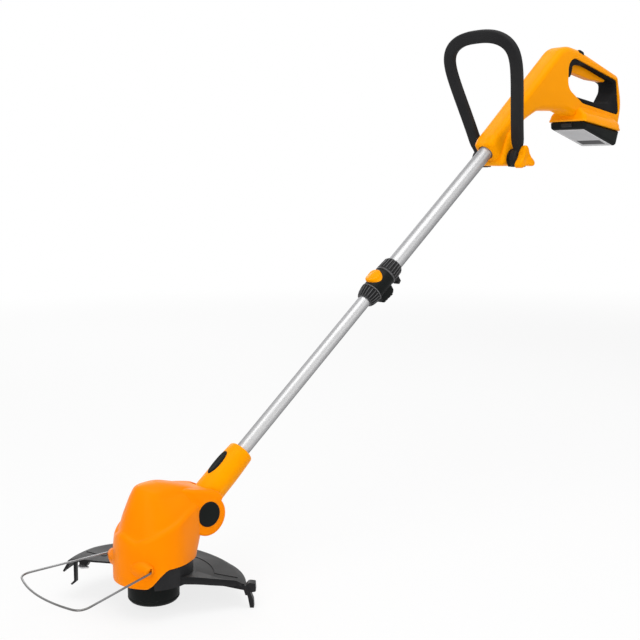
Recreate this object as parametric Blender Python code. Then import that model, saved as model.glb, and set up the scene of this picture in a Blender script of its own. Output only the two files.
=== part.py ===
# Cordless string trimmer, in the pose in which it is carried.
# Metres, +Z up, the cutting head towards -X, the tool's left side towards -Y.
# The origin is the middle of the rear grip. Three frames carry the pieces:
# the handle's own (the world), the shaft's (X down the shaft) and the head's (Z up the spool axis).
import math

import bmesh
import bpy
from mathutils import Matrix, Vector

# Clearances
SEAT_GAP = 0.0003
RUN_GAP = 0.0005
PARTING_GAP = 0.0003

# Shaft
SHAFT_PITCH = math.radians(39.44)
SOCKET_X = -0.3142
SOCKET_Z = -0.1635
UPPER_TUBE_R = 0.0125
UPPER_TUBE_WALL = 0.0012
UPPER_TUBE_SHOWN = 0.2935
SOCKET_DEPTH = 0.060
LOWER_TUBE_R = 0.0106
LOWER_TUBE_WALL = 0.0012
LOWER_TUBE_SHOWN = 0.3240
LOWER_TUBE_OVERLAP = 0.100
NECK_SOCKET_DEPTH = 0.055

# Telescopic coupling
COUPLING_LENGTH = 0.0865
COLLAR_LENGTH = 0.0275
NUT_LENGTH = 0.0220
COLLAR_TOP_R = 0.0158
COLLAR_R = 0.0178
COUPLING_R = 0.0176
NUT_R = 0.0178
NUT_END_R = 0.0135
RIB_COUNT = 15
RIB_HEIGHT = 0.0011
COUPLING_BUTTON_LENGTH = 0.027
COUPLING_BUTTON_R = 0.0225
COUPLING_BUTTON_HALF = 0.0140
COUPLING_BUTTON_FLOOR_R = 0.0153
CLIP_LENGTH = 0.030
CLIP_WIDTH = 0.011
CLIP_DEPTH = 0.0125

# Neck
NECK_LENGTH = 0.1108
NECK_R = 0.0212
NECK_MOUTH_R = 0.0196
KNUCKLE_R = 0.0225
KNUCKLE_HALF = 0.0215
TILT_BUTTON_AT = 0.0400
TILT_BUTTON_LENGTH = 0.042
TILT_BUTTON_WIDTH = 0.014
TILT_BUTTON_PROUD = 0.0022
TILT_BUTTON_DEPTH = 0.0065
TILT_RANGE = math.radians(45)

# Head, measured from the spool axis and the ground under the spool
PIVOT_BACK = 0.0715
PIVOT_HEIGHT = 0.1190
EAR_R = 0.0292
EAR_DROP = 0.0025
EAR_HALF = 0.0362
HUB_CAP_R = 0.0180
HUB_CAP_DEPTH = 0.0040
PIN_R = 0.0050
SKIRT_BOTTOM = 0.0370
SKIRT_R = 0.0560
STEP_BACK_TOP = -0.0115
STEP_BACK_FOOT = -0.0370
HUB_HALF = 0.0345
SKIRT_WALL = 0.0030
REAR_BOTTOM = 0.0625
COVER_R = 0.0475
CAP_HEIGHT = 0.1620
CAP_R = 0.0265
CROWN_HEIGHT = 0.1730
MOTOR_R = 0.0270
MOTOR_BOTTOM = 0.0800
MOTOR_LENGTH = 0.0640
MOTOR_WALL = 0.0030
FLOOR_CAVITY_R = 0.0460
ROTOR_R = 0.0180
ROTOR_INSET = 0.0120
SHAFT_R = 0.0040
SCREW_R = 0.0035
SCREW_HEAD = 0.0022
POST_R = 0.0055

# Spool
SPOOL_R = 0.0363
SPOOL_TOP = 0.0500
SPOOL_WALL = 0.0025
BUMP_R = 0.0270
BUMP_HEIGHT = 0.0080
BUMP_TRAVEL = 0.0050
SPRING_R = 0.0085
SPRING_WIRE_R = 0.0007
SPRING_TURNS = 3
REEL_R = 0.0300
REEL_CORE_R = 0.0110

# Guard
GUARD_R = 0.1300
GUARD_INNER_R = 0.0420
GUARD_COLLAR_R = 0.0560
COLLAR_BOTTOM = 0.0350
GUARD_WALL = 0.0026
GUARD_START = math.radians(-44)
GUARD_END = math.radians(127)
COLLAR_REACH = math.radians(121)
GUARD_ROOT_HEIGHT = 0.0440
GUARD_RIM_HEIGHT = 0.0357
GUARD_TILT = 0.081
GUARD_LEAN = 0.100
GUARD_RISE = 0.0145
GUARD_DROP = 0.0110
GUARD_SKIRT = 0.0150
GUARD_SKIRT_FLARE = 0.0025
END_LEG_R = 0.0060
END_LEG = 0.0182
CUTTER_THICK = 0.0020
WEB_FOOT_X = 0.0020
WEB_FOOT_Y = -0.0530
WEB_TIP_INSET = 0.0016
WEB_TIP_ANGLE = math.radians(-43.26)
WEB_RIB_ROOT = 0.0110
WEB_RIB_TIP = 0.0060

# Wire guard
WIRE_R = 0.0015
WIRE_PIVOT_X = -0.0370
WIRE_PIVOT_Z = 0.0650
WIRE_PIVOT_HALF = 0.0545
WIRE_FRONT_X = -0.1594
WIRE_FRONT_Z = 0.0535
WIRE_FRONT_HALF = 0.0845
WIRE_BOW = 0.0158
WIRE_CORNER_R = 0.016
WIRE_BOSS_R = 0.0085
WIRE_BOSS_HALF = 0.0515

# Handle
BODY_HALF = 0.0220
BODY_ROUND = 0.0110
FOOT_Z = -0.1870
FOOT_HALF = 0.0300
LOOP_PIVOT_X = -0.2760
LOOP_PIVOT_Z = -0.1750
HANDLE_WALL = 0.0060
TRIGGER_HALF = 0.0080
TRIGGER_PIVOT_X = 0.0270
TRIGGER_PIVOT_Z = -0.0160
LOCK_OFF_X = -0.0650
LOCK_OFF_LENGTH = 0.0165
LOCK_OFF_HALF = 0.0210
LOCK_OFF_PROUD = 0.0028
LOCK_OFF_DEPTH = 0.0090

# Battery
LIP_PITCH = math.radians(7.7)
LIP_FRONT_X = -0.0790
LIP_FRONT_Z = -0.1020
BATTERY_LENGTH = 0.1180
BATTERY_HALF = 0.0400
BATTERY_FRONT_HEIGHT = 0.0160
BATTERY_REAR_HEIGHT = 0.0300
BATTERY_ROUND = 0.0060
RAIL_HALF = 0.0280
RAIL_NECK_HALF = 0.0230
RAIL_HEIGHT = 0.0130
RAIL_FLANGE = 0.0060
RAIL_INSET = 0.0120
LABEL_LENGTH = 0.070
LABEL_HALF = 0.030
LABEL_THICK = 0.0006
TERMINAL_LENGTH = 0.010
SHROUD_HALF = 0.0425
SHROUD_HEIGHT = 0.0300

# Loop handle
LOOP_LEAN = math.radians(17.8)
LOOP_FOOT_HALF = 0.0425
LOOP_SHOULDER_HALF = 0.0730
LOOP_SHOULDER_HEIGHT = 0.1680
LOOP_HEIGHT = 0.2145
LOOP_WIDE = 0.0106
LOOP_DEEP = 0.0092
LOOP_EYE_R = 0.0145
PIVOT_DISC_R = 0.0135
BOLT_R = 0.0040
KNOB_R = 0.0190
KNOB_LOBE = 0.0060
KNOB_DEPTH = 0.0135

ORANGE = (1.0, 0.30, 0.0, 1.0)
BLACK = (0.017, 0.017, 0.019, 1.0)
SILVER = (0.62, 0.63, 0.65, 1.0)
STEEL = (0.45, 0.45, 0.46, 1.0)
COPPER = (0.60, 0.33, 0.16, 1.0)
LINE_GREY = (0.35, 0.36, 0.38, 1.0)
LABEL_GREY = (0.42, 0.43, 0.45, 1.0)


def clear_scene():
    for obj in list(bpy.data.objects):
        bpy.data.objects.remove(obj, do_unlink=True)


def make_material(name, finish):
    colour, roughness, metallic = finish
    material = bpy.data.materials.new(name)
    material.use_nodes = True
    shader = material.node_tree.nodes["Principled BSDF"]
    shader.inputs["Base Color"].default_value = colour
    shader.inputs["Roughness"].default_value = roughness
    shader.inputs["Metallic"].default_value = metallic
    return material


def make_frame(name, matrix):
    frame = bpy.data.objects.new(name, None)
    frame.matrix_world = matrix
    bpy.context.scene.collection.objects.link(frame)
    return frame


clear_scene()

# Finishes: colour, roughness, metallic
orange_plastic = (ORANGE, 0.35, 0.0)
black_plastic = (BLACK, 0.45, 0.0)
grip_rubber = (BLACK, 0.75, 0.0)
aluminium = (SILVER, 0.35, 0.9)
steel = (STEEL, 0.30, 1.0)
copper = (COPPER, 0.35, 1.0)
line_nylon = (LINE_GREY, 0.50, 0.0)
label_foil = (LABEL_GREY, 0.40, 0.0)

# X runs down the shaft, Z up from it, Y to the tool's left
shaft_down = Vector((-math.cos(SHAFT_PITCH), 0, -math.sin(SHAFT_PITCH)))
shaft_up = Vector((-math.sin(SHAFT_PITCH), 0, math.cos(SHAFT_PITCH)))
shaft_left = Vector((0, -1, 0))
socket = Vector((SOCKET_X, 0, SOCKET_Z))
shaft_matrix = Matrix(
    (
        (shaft_down.x, shaft_left.x, shaft_up.x, socket.x),
        (shaft_down.y, shaft_left.y, shaft_up.y, socket.y),
        (shaft_down.z, shaft_left.z, shaft_up.z, socket.z),
        (0, 0, 0, 1),
    )
)

# Distances down the shaft from the handle's socket
coupling_top = UPPER_TUBE_SHOWN
coupling_end = coupling_top + COUPLING_LENGTH
neck_top = coupling_end + LOWER_TUBE_SHOWN
pivot_at = neck_top + NECK_LENGTH
pivot = socket + shaft_down * pivot_at
head_origin = Vector((pivot.x - PIVOT_BACK, 0, pivot.z - PIVOT_HEIGHT))

handle_frame = make_frame("handle_frame", Matrix.Identity(4))
shaft_frame = make_frame("shaft_frame", shaft_matrix)
head_frame = make_frame("head_frame", Matrix.Translation(head_origin))
bpy.context.view_layer.update()


def link_mesh(name, bm, material, frame, origin=(0, 0, 0), angle=35):
    """Closes a bmesh into an object of the frame, with its origin at a point of that frame."""
    bmesh.ops.recalc_face_normals(bm, faces=bm.faces)
    bmesh.ops.translate(bm, verts=bm.verts, vec=-Vector(origin))
    mesh = bpy.data.meshes.new(name)
    bm.to_mesh(mesh)
    bm.free()
    mesh.shade_smooth()
    mesh.set_sharp_from_angle(angle=math.radians(angle))
    mesh.materials.append(make_material(name, material))
    obj = bpy.data.objects.new(name, mesh)
    obj.parent = frame
    obj.location = origin
    bpy.context.scene.collection.objects.link(obj)
    return obj


def loft(name, rings, material, frame, origin=(0, 0, 0), closed=False):
    """Skins rings of equal point count, with flat ends unless the rings close on themselves."""
    bm = bmesh.new()
    rows = [[bm.verts.new(point) for point in ring] for ring in rings]
    pairs = list(zip(rows, rows[1:]))
    if closed:
        pairs.append((rows[-1], rows[0]))
    for low, high in pairs:
        for i in range(len(low)):
            j = (i + 1) % len(low)
            bm.faces.new((low[i], low[j], high[j], high[i]))
    if not closed:
        bm.faces.new(rows[0])
        bm.faces.new(list(reversed(rows[-1])))
    return link_mesh(name, bm, material, frame, origin)


def revolve(name, profile, material, frame, origin=(0, 0, 0), axis="Z", segments=20):
    """Turns a closed (radius, height) profile round an axis through the origin point."""
    centre = Vector(origin)
    rings = []
    for i in range(segments):
        a = 2 * math.pi * i / segments
        ring = []
        for radius, height in profile:
            c = radius * math.cos(a)
            s = radius * math.sin(a)
            if axis == "Z":
                offset = Vector((c, s, height))
            elif axis == "Y":
                offset = Vector((s, height, c))
            else:
                offset = Vector((height, c, s))
            ring.append(centre + offset)
        rings.append(ring)
    return loft(name, rings, material, frame, origin, closed=True)


def turned(name, profile, material, frame, origin=(0, 0, 0), axis="Z", segments=24):
    """Turns an open (radius, height) profile into a solid with flat ends across the axis."""
    centre = Vector(origin)
    rings = []
    for radius, height in profile:
        ring = []
        for i in range(segments):
            a = 2 * math.pi * i / segments
            c = radius * math.cos(a)
            s = radius * math.sin(a)
            if axis == "Z":
                offset = Vector((c, s, height))
            elif axis == "Y":
                offset = Vector((s, height, c))
            else:
                offset = Vector((height, c, s))
            ring.append(centre + offset)
        rings.append(ring)
    return loft(name, rings, material, frame, origin)


def rounded_polygon(corners, step=math.radians(15)):
    """Outline through (x, z, fillet radius) corners, with each corner as an arc."""
    points = []
    for i, (x, z, radius) in enumerate(corners):
        here = Vector((x, z))
        before = Vector(corners[i - 1][:2]) - here
        after = Vector(corners[(i + 1) % len(corners)][:2]) - here
        turn = math.pi - before.angle(after)
        if radius <= 0 or turn < math.radians(1):
            points.append((x, z))
            continue
        reach = radius * math.tan(turn / 2)
        reach = min(reach, before.length * 0.48, after.length * 0.48)
        radius = reach / math.tan(turn / 2)
        middle = (before.normalized() + after.normalized()).normalized()
        centre = here + middle * (radius / math.cos(turn / 2))
        start = here + before.normalized() * reach - centre
        end = here + after.normalized() * reach - centre
        first = math.atan2(start.y, start.x)
        sweep = math.atan2(end.y, end.x) - first
        sweep = (sweep + math.pi) % (2 * math.pi) - math.pi
        count = max(2, math.ceil(turn / step - 0.05))
        for k in range(count + 1):
            a = first + sweep * k / count
            points.append((centre.x + radius * math.cos(a), centre.y + radius * math.sin(a)))
    return points


def area(outline):
    total = 0.0
    for (x0, z0), (x1, z1) in zip(outline, outline[1:] + outline[:1]):
        total += x0 * z1 - x1 * z0
    return total / 2


def inset(shape, distance, step=math.radians(15)):
    """Outline of a shape moved inwards, its (x, z, fillet radius) corners filleted to suit."""
    sign = 1 if area([point[:2] for point in shape]) > 0 else -1
    moved = []
    count = len(shape)
    for i in range(count):
        here = Vector(shape[i][:2])
        back = (here - Vector(shape[i - 1][:2])).normalized()
        forth = (Vector(shape[(i + 1) % count][:2]) - here).normalized()
        normal = (Vector((-(back.y + forth.y), back.x + forth.x)) * sign).normalized()
        scale = 1 / max(0.2, normal.dot(Vector((-forth.y, forth.x)) * sign))
        here += normal * distance * scale
        if len(shape[i]) == 2:
            moved.append((here.x, here.y))
            continue
        convex = (back.x * forth.y - back.y * forth.x) * sign > 0
        radius = shape[i][2]
        if radius > 0:
            radius = max(radius - distance, 0.0004) if convex else radius + distance
        moved.append((here.x, here.y, radius))
    if len(shape[0]) == 3:
        return rounded_polygon(moved, step)
    return moved


def slab(
    name, shape, low, high, material, frame, origin=(0, 0, 0), low_round=0.0, high_round=0.0, steps=2, turn=20
):
    """Extrudes an XZ shape from y = low to y = high, with rounded edges on either face."""
    layers = []
    if low_round > 0:
        for k in range(steps):
            a = math.pi / 2 * k / steps
            layers.append((low_round * (1 - math.sin(a)), low + low_round * (1 - math.cos(a))))
        layers.append((0.0, low + low_round))
    else:
        layers.append((0.0, low))
    if high_round > 0:
        layers.append((0.0, high - high_round))
        for k in range(steps - 1, -1, -1):
            a = math.pi / 2 * k / steps
            layers.append((high_round * (1 - math.sin(a)), high - high_round * (1 - math.cos(a))))
    else:
        layers.append((0.0, high))
    rings = []
    for depth, y in layers:
        rings.append([Vector((x, y, z)) for x, z in inset(shape, depth, math.radians(turn))])
    return loft(name, rings, material, frame, origin)


def plate(name, outline, low, high, material, frame, origin=(0, 0, 0)):
    """Extrudes an XY outline from z = low to z = high."""
    rings = [[Vector((x, y, z)) for x, y in outline] for z in (low, high)]
    return loft(name, rings, material, frame, origin)


def box(name, low, high, material, frame, origin=(0, 0, 0)):
    x0, y0, z0 = low
    x1, y1, z1 = high
    outline = [(x0, y0), (x1, y0), (x1, y1), (x0, y1)]
    return plate(name, outline, z0, z1, material, frame, origin)


def sweep(name, path, section, material, frame, origin=(0, 0, 0), side=Vector((0, 1, 0))):
    """Carries a section, given as (across, along side) pairs, down a path."""
    rings = []
    for i, point in enumerate(path):
        before = path[max(i - 1, 0)]
        after = path[min(i + 1, len(path) - 1)]
        tangent = (after - before).normalized()
        across = side.cross(tangent)
        if across.length < 1e-6:
            across = Vector((0, 0, 1)).cross(tangent)
        across.normalize()
        up = tangent.cross(across)
        rings.append([point + across * u + up * v for u, v in section])
    return loft(name, rings, material, frame, origin)


def circle(radius, count):
    return [
        (radius * math.cos(2 * math.pi * i / count), radius * math.sin(2 * math.pi * i / count))
        for i in range(count)
    ]


def helper(obj):
    obj.hide_render = True
    obj.display_type = "WIRE"
    return obj


def combine(obj, other, operation):
    modifier = obj.modifiers.new(f"{operation.lower()}_{other.name}", "BOOLEAN")
    modifier.operation = operation
    modifier.solver = "EXACT"
    modifier.object = helper(other)
    modifier.show_render = modifier.show_viewport


def cut(obj, *cutters):
    for cutter in cutters:
        combine(obj, cutter, "DIFFERENCE")


def fuse(obj, *others):
    for other in others:
        combine(obj, other, "UNION")


def ease(t):
    t = min(max(t, 0.0), 1.0)
    return t * t * (3 - 2 * t)


def rounded_rectangle(half_x, half_y, radius, centre_x=0.0):
    corners = [
        (centre_x - half_x, -half_y, radius),
        (centre_x + half_x, -half_y, radius),
        (centre_x + half_x, half_y, radius),
        (centre_x - half_x, half_y, radius),
    ]
    return rounded_polygon(corners, math.radians(30))


# Handle


def body_outline():
    """Side outline of the handle housing, from its foot round the grip and down the arch."""
    return [
        (-0.2950, FOOT_Z, 0.004),
        (LOOP_PIVOT_X + 0.021, FOOT_Z, 0.010),
        (-0.2430, -0.1120, 0.040),
        (-0.1900, -0.0860, 0.050),
        (-0.1150, -0.0830, 0.020),
        (LIP_FRONT_X, LIP_FRONT_Z + 0.010, 0.004),
        (0.0620, -0.1150, 0.006),
        (0.0735, -0.0650, 0.080),
        (0.0580, -0.0096, 0.012),
        (-0.0700, 0.0300, 0.050),
        (-0.1190, 0.0370, 0.060),
        (-0.3180, -0.1386, 0.012),
        (-0.3262, -0.1512, 0.008),
    ]


def window_outline():
    """The hand opening in the orange housing, which the soft grip lines."""
    return [
        (-0.1075, 0.0190, 0.022),
        (0.0500, -0.0190, 0.008),
        (0.0612, -0.0860, 0.008),
        (-0.0600, -0.0680, 0.030),
        (-0.1075, -0.0420, 0.025),
    ]


def hand_opening():
    """What stays open inside the soft grip: past its front end, under the bar and before the post."""
    return [
        (-0.1300, -0.0220, 0.0),
        (-0.0970, -0.0220, 0.006),
        (-0.0910, -0.0010, 0.008),
        (-0.0820, 0.0030, 0.006),
        (-0.0540, 0.0030, 0.010),
        (0.0360, -0.0215, 0.008),
        (0.0470, -0.0260, 0.008),
        (0.0460, -0.0400, 0.012),
        (0.0290, -0.0620, 0.012),
        (-0.0210, -0.0640, 0.020),
        (-0.0800, -0.0560, 0.010),
        (-0.1300, -0.0360, 0.0),
    ]


def lip_point(along, down):
    """A point of the battery plane: along it from the front, and down square to it."""
    x = LIP_FRONT_X + along * math.cos(LIP_PITCH) - down * math.sin(LIP_PITCH)
    z = LIP_FRONT_Z - along * math.sin(LIP_PITCH) - down * math.cos(LIP_PITCH)
    return x, z


def lip_slab(name, spans, half, material, rounding):
    shape = [(*lip_point(a, d), r) for a, d, r in spans]
    front = (LIP_FRONT_X, 0, LIP_FRONT_Z)
    return slab(
        name, shape, -half, half, material, handle_frame, front, low_round=rounding, high_round=rounding
    )


def make_shroud():
    """Skirt that widens from the lower bar to the battery's width."""
    rings = []
    levels = [
        (0.000, SHROUD_HALF, 0.0),
        (0.003, SHROUD_HALF, 0.0),
        (0.011, SHROUD_HALF - 0.0020, 0.0004),
        (0.018, SHROUD_HALF - 0.0085, 0.0010),
        (0.024, BODY_HALF + 0.0040, 0.0030),
        (SHROUD_HEIGHT, BODY_HALF - 0.0030, 0.0060),
    ]
    for up, half, shorten in levels:
        half_length = BATTERY_LENGTH / 2 + 0.002 - shorten
        ring = []
        for a, y in rounded_rectangle(half_length, half, 0.012, BATTERY_LENGTH / 2):
            x, z = lip_point(a, -up - SEAT_GAP)
            ring.append(Vector((x, y, z)))
        rings.append(ring)
    return loft("shroud_form", rings, orange_plastic, handle_frame)


def make_cheeks():
    """Widening of the housing at its foot, where the loop handle is clamped."""
    outline = [
        (LOOP_PIVOT_X - 0.019, FOOT_Z, 0.006),
        (LOOP_PIVOT_X + 0.020, FOOT_Z, 0.008),
        (LOOP_PIVOT_X + 0.030, LOOP_PIVOT_Z + 0.045, 0.016),
        (LOOP_PIVOT_X - 0.006, LOOP_PIVOT_Z + 0.040, 0.016),
    ]
    return slab(
        "cheek_form",
        outline,
        -FOOT_HALF,
        FOOT_HALF,
        orange_plastic,
        handle_frame,
        low_round=0.005,
        high_round=0.005,
    )


def trigger_outline():
    return [
        (-0.0880, -0.0090, 0.005),
        (-0.0200, -0.0205, 0.02),
        (TRIGGER_PIVOT_X, TRIGGER_PIVOT_Z - 0.0065, 0.004),
        (TRIGGER_PIVOT_X + 0.0060, TRIGGER_PIVOT_Z + 0.001, 0.004),
        (TRIGGER_PIVOT_X - 0.0020, TRIGGER_PIVOT_Z + 0.0055, 0.004),
        (-0.0810, 0.0080, 0.003),
        (-0.0880, 0.0040, 0.003),
    ]


def handle_screws():
    """The screws that close the housing, driven in from its right side."""
    depth = BODY_HALF - 0.0030
    return [
        ("handle_screw_1", (-0.2300, depth, -0.0850)),
        ("handle_screw_2", (-0.1500, depth, -0.0100)),
        ("handle_screw_3", (-0.1480, depth, -0.0560)),
    ]


def make_handle():
    slot_cutter = make_trigger_slot("trigger_slot")
    window = slab("window_form", window_outline(), -0.040, 0.040, orange_plastic, handle_frame)
    shroud = make_shroud()
    cheeks = make_cheeks()
    bay_start = RAIL_INSET - TERMINAL_LENGTH - SEAT_GAP * 2
    bay_end = BATTERY_LENGTH + 0.040
    bay = rail_form("rail_bay", bay_start, bay_end, SEAT_GAP)
    bay_mouth = rail_neck("bay_mouth", bay_start + SEAT_GAP, bay_end + SEAT_GAP, SEAT_GAP)
    below_lip = lip_slab(
        "below_lip",
        [
            (-0.030, -SEAT_GAP, 0.0),
            (BATTERY_LENGTH + 0.050, -SEAT_GAP, 0.0),
            (BATTERY_LENGTH + 0.050, 0.030, 0.0),
            (-0.030, 0.030, 0.0),
        ],
        0.060,
        orange_plastic,
        0.0,
    )
    tube_bore = turned(
        "tube_bore",
        [(UPPER_TUBE_R + SEAT_GAP, -SOCKET_DEPTH - SEAT_GAP), (UPPER_TUBE_R + SEAT_GAP, 0.060)],
        orange_plastic,
        shaft_frame,
        axis="X",
        segments=24,
    )
    bolt_bore = turned(
        "bolt_bore",
        [(BOLT_R + SEAT_GAP, -0.060), (BOLT_R + SEAT_GAP, 0.060)],
        orange_plastic,
        handle_frame,
        (LOOP_PIVOT_X, 0, LOOP_PIVOT_Z),
        axis="Y",
        segments=16,
    )
    cavity = slab(
        "handle_cavity",
        [
            (-0.2600, -0.1420, 0.008),
            (-0.2240, -0.0960, 0.020),
            (-0.1900, -0.0810, 0.020),
            (-0.1310, -0.0780, 0.008),
            (-0.1310, 0.0195, 0.008),
            (-0.2600, -0.0940, 0.008),
        ],
        -BODY_HALF + HANDLE_WALL,
        BODY_HALF - HANDLE_WALL,
        orange_plastic,
        handle_frame,
    )
    cut(cavity, *[screw_post(f"post_{n}", place, handle_frame) for n, place in handle_screws()])
    button_well = make_lock_off("lock_off_well", SEAT_GAP, 0.008)
    switch_well = make_switch("switch_well", SEAT_GAP)
    shells = []
    for side, name in ((-1, "handle_shell_left"), (1, "handle_shell_right")):
        low = min(side * PARTING_GAP / 2, side * BODY_HALF)
        high = max(side * PARTING_GAP / 2, side * BODY_HALF)
        low_round = BODY_ROUND if side < 0 else 0.0
        high_round = BODY_ROUND if side > 0 else 0.0
        shell = slab(
            name,
            body_outline(),
            low,
            high,
            orange_plastic,
            handle_frame,
            low_round=low_round,
            high_round=high_round,
            steps=3,
        )
        near = -0.080 if side > 0 else -PARTING_GAP / 2
        far = PARTING_GAP / 2 if side > 0 else 0.080
        other_half = box(
            f"{name}_other_half", (-0.5, near, -0.4), (0.3, far, 0.3), orange_plastic, handle_frame
        )
        fuse(shell, shroud, cheeks)
        if side > 0:
            cut(shell, *[screw_well(f"well_{n}", place, 1, handle_frame) for n, place in handle_screws()])
        cut(shell, other_half, window, slot_cutter, cavity, tube_bore, bolt_bore)
        cut(shell, below_lip, bay, bay_mouth, button_well, switch_well)
        shells.append(shell)
    return shells


def make_soft_grip():
    half = BODY_HALF - 0.0015
    lining = [(x, z) for x, z in inset(window_outline(), SEAT_GAP, math.radians(20))]
    grip = slab(
        "grip_overmould", lining, -half, half, grip_rubber, handle_frame, low_round=0.0025, high_round=0.0025
    )
    opening = slab("hand_opening", hand_opening(), -0.04, 0.04, grip_rubber, handle_frame)
    cut(grip, opening, make_trigger_slot("grip_slot"))
    return grip


def make_trigger_slot(name):
    """Room for the trigger and its travel in the bar."""
    half = TRIGGER_HALF + RUN_GAP
    back = TRIGGER_PIVOT_X + 0.0070
    slot = [
        (-0.0895, -0.0300),
        (back, -0.0400),
        (back, TRIGGER_PIVOT_Z + 0.0070),
        (-0.0810, 0.0165),
        (-0.0895, 0.0165),
    ]
    return slab(name, slot, -half, half, orange_plastic, handle_frame)


def make_trigger():
    return slab(
        "trigger",
        trigger_outline(),
        -TRIGGER_HALF,
        TRIGGER_HALF,
        orange_plastic,
        handle_frame,
        (TRIGGER_PIVOT_X, 0, TRIGGER_PIVOT_Z),
        low_round=0.0025,
        high_round=0.0025,
    )


grip_line_angle = math.atan2(-0.0390, 0.1260)
lock_off_z = 0.0300 + (LOCK_OFF_X + 0.0700) * math.tan(grip_line_angle)


def make_lock_off(name, grow=0.0, extra=0.0):
    """Thumb bar across the grip's top, square to its slope, down over both shoulders."""
    top = Vector((LOCK_OFF_X, lock_off_z))
    along = Vector((math.cos(grip_line_angle), math.sin(grip_line_angle)))
    up = Vector((-along.y, along.x))
    half = LOCK_OFF_LENGTH / 2 + grow
    shape = []
    for u, v, radius in (
        (-half, -LOCK_OFF_DEPTH - grow * 10, 0.0),
        (half, -LOCK_OFF_DEPTH - grow * 10, 0.0),
        (half, LOCK_OFF_PROUD + extra, 0.0 if extra else 0.0040),
        (-half, LOCK_OFF_PROUD + extra, 0.0 if extra else 0.0040),
    ):
        corner = top + along * u + up * v
        shape.append((corner.x, corner.y, radius))
    side = 0.0 if extra else 0.0030
    wide = LOCK_OFF_HALF + grow
    origin = (LOCK_OFF_X, 0, lock_off_z)
    finish = black_plastic
    return slab(name, shape, -wide, wide, finish, handle_frame, origin, low_round=side, high_round=side)


def make_switch(name, grow=0.0):
    """Trigger switch in the bar, over the front of the trigger."""
    low = (-0.1290 - grow, -0.0070 - grow, -0.0030 - grow)
    high = (-0.1100 + grow, 0.0070 + grow, 0.0170 + grow)
    return box(name, low, high, black_plastic, handle_frame)


def rail_form(name, start, end, grow):
    """Wide flange on top of the battery's rail."""
    low = -RAIL_HEIGHT + RAIL_FLANGE + grow
    high = -RAIL_HEIGHT - grow
    span = [(start, low, 0.0), (end, low, 0.0), (end, high, 0.0), (start, high, 0.0)]
    return lip_slab(name, span, RAIL_HALF + grow, black_plastic, 0.0)


def rail_neck(name, start, end, grow):
    """Narrow part of the rail between its flange and the case."""
    low = 0.004
    high = -RAIL_HEIGHT + RAIL_FLANGE / 2
    span = [(start, low, 0.0), (end, low, 0.0), (end, high, 0.0), (start, high, 0.0)]
    return lip_slab(name, span, RAIL_NECK_HALF + grow, black_plastic, 0.0)


def make_terminals():
    """Contact block at the blind end of the rail bay."""
    start = RAIL_INSET - TERMINAL_LENGTH
    end = RAIL_INSET - SEAT_GAP
    span = [
        (start - SEAT_GAP, -0.0010, 0.0),
        (end, -0.0010, 0.0),
        (end, -RAIL_HEIGHT + 0.0010, 0.0),
        (start - SEAT_GAP, -RAIL_HEIGHT + 0.0010, 0.0),
    ]
    return lip_slab("terminal_block", span, RAIL_NECK_HALF - 0.0015, black_plastic, 0.0)


def bottom_point(along, down):
    """A point of the battery's sloping underside."""
    share = (along - 0.003) / (BATTERY_LENGTH - 0.009)
    depth = BATTERY_FRONT_HEIGHT + (BATTERY_REAR_HEIGHT - BATTERY_FRONT_HEIGHT) * share
    return (*lip_point(along, depth + down), 0.0)


def make_label():
    start = 0.012
    span = [
        bottom_point(start, LABEL_THICK / 2),
        bottom_point(start + LABEL_LENGTH, LABEL_THICK / 2),
        bottom_point(start + LABEL_LENGTH, -LABEL_THICK / 2),
        bottom_point(start, -LABEL_THICK / 2),
    ]
    front = (LIP_FRONT_X, 0, LIP_FRONT_Z)
    label = slab("battery_label", span, -LABEL_HALF, LABEL_HALF, label_foil, handle_frame, front)
    pocket = [
        bottom_point(start - SEAT_GAP, 0.004),
        bottom_point(start + LABEL_LENGTH + SEAT_GAP, 0.004),
        bottom_point(start + LABEL_LENGTH + SEAT_GAP, -LABEL_THICK / 2 - SEAT_GAP),
        bottom_point(start - SEAT_GAP, -LABEL_THICK / 2 - SEAT_GAP),
    ]
    half = LABEL_HALF + SEAT_GAP
    return label, slab("label_pocket", pocket, -half, half, black_plastic, handle_frame)


def make_battery():
    case = lip_slab(
        "battery_case",
        [
            (0.0, 0.0, 0.002),
            (BATTERY_LENGTH, 0.0, 0.002),
            (BATTERY_LENGTH - 0.0060, BATTERY_REAR_HEIGHT, 0.006),
            (0.0030, BATTERY_FRONT_HEIGHT, 0.005),
        ],
        BATTERY_HALF,
        black_plastic,
        BATTERY_ROUND,
    )
    rail_end = BATTERY_LENGTH - 0.006
    neck = rail_neck("rail_neck", RAIL_INSET, rail_end, 0.0)
    flange = rail_form("rail_flange", RAIL_INSET, rail_end, 0.0)
    fuse(case, neck, flange)
    label, pocket = make_label()
    cut(case, pocket)
    latch = lip_slab(
        "battery_latch",
        [
            (-0.0016, 0.0035, 0.001),
            (0.0050, 0.0035, 0.0),
            (0.0050, 0.0100, 0.0),
            (-0.0016, 0.0100, 0.001),
        ],
        0.0110,
        black_plastic,
        0.0,
    )
    latch_well = lip_slab(
        "latch_well",
        [
            (-0.0060, 0.0035 - SEAT_GAP, 0.0),
            (0.0080, 0.0035 - SEAT_GAP, 0.0),
            (0.0080, 0.0100 + SEAT_GAP, 0.0),
            (-0.0060, 0.0100 + SEAT_GAP, 0.0),
        ],
        0.0110 + SEAT_GAP,
        black_plastic,
        0.0,
    )
    cut(case, latch_well)
    return case, latch


# Loop handle


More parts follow.
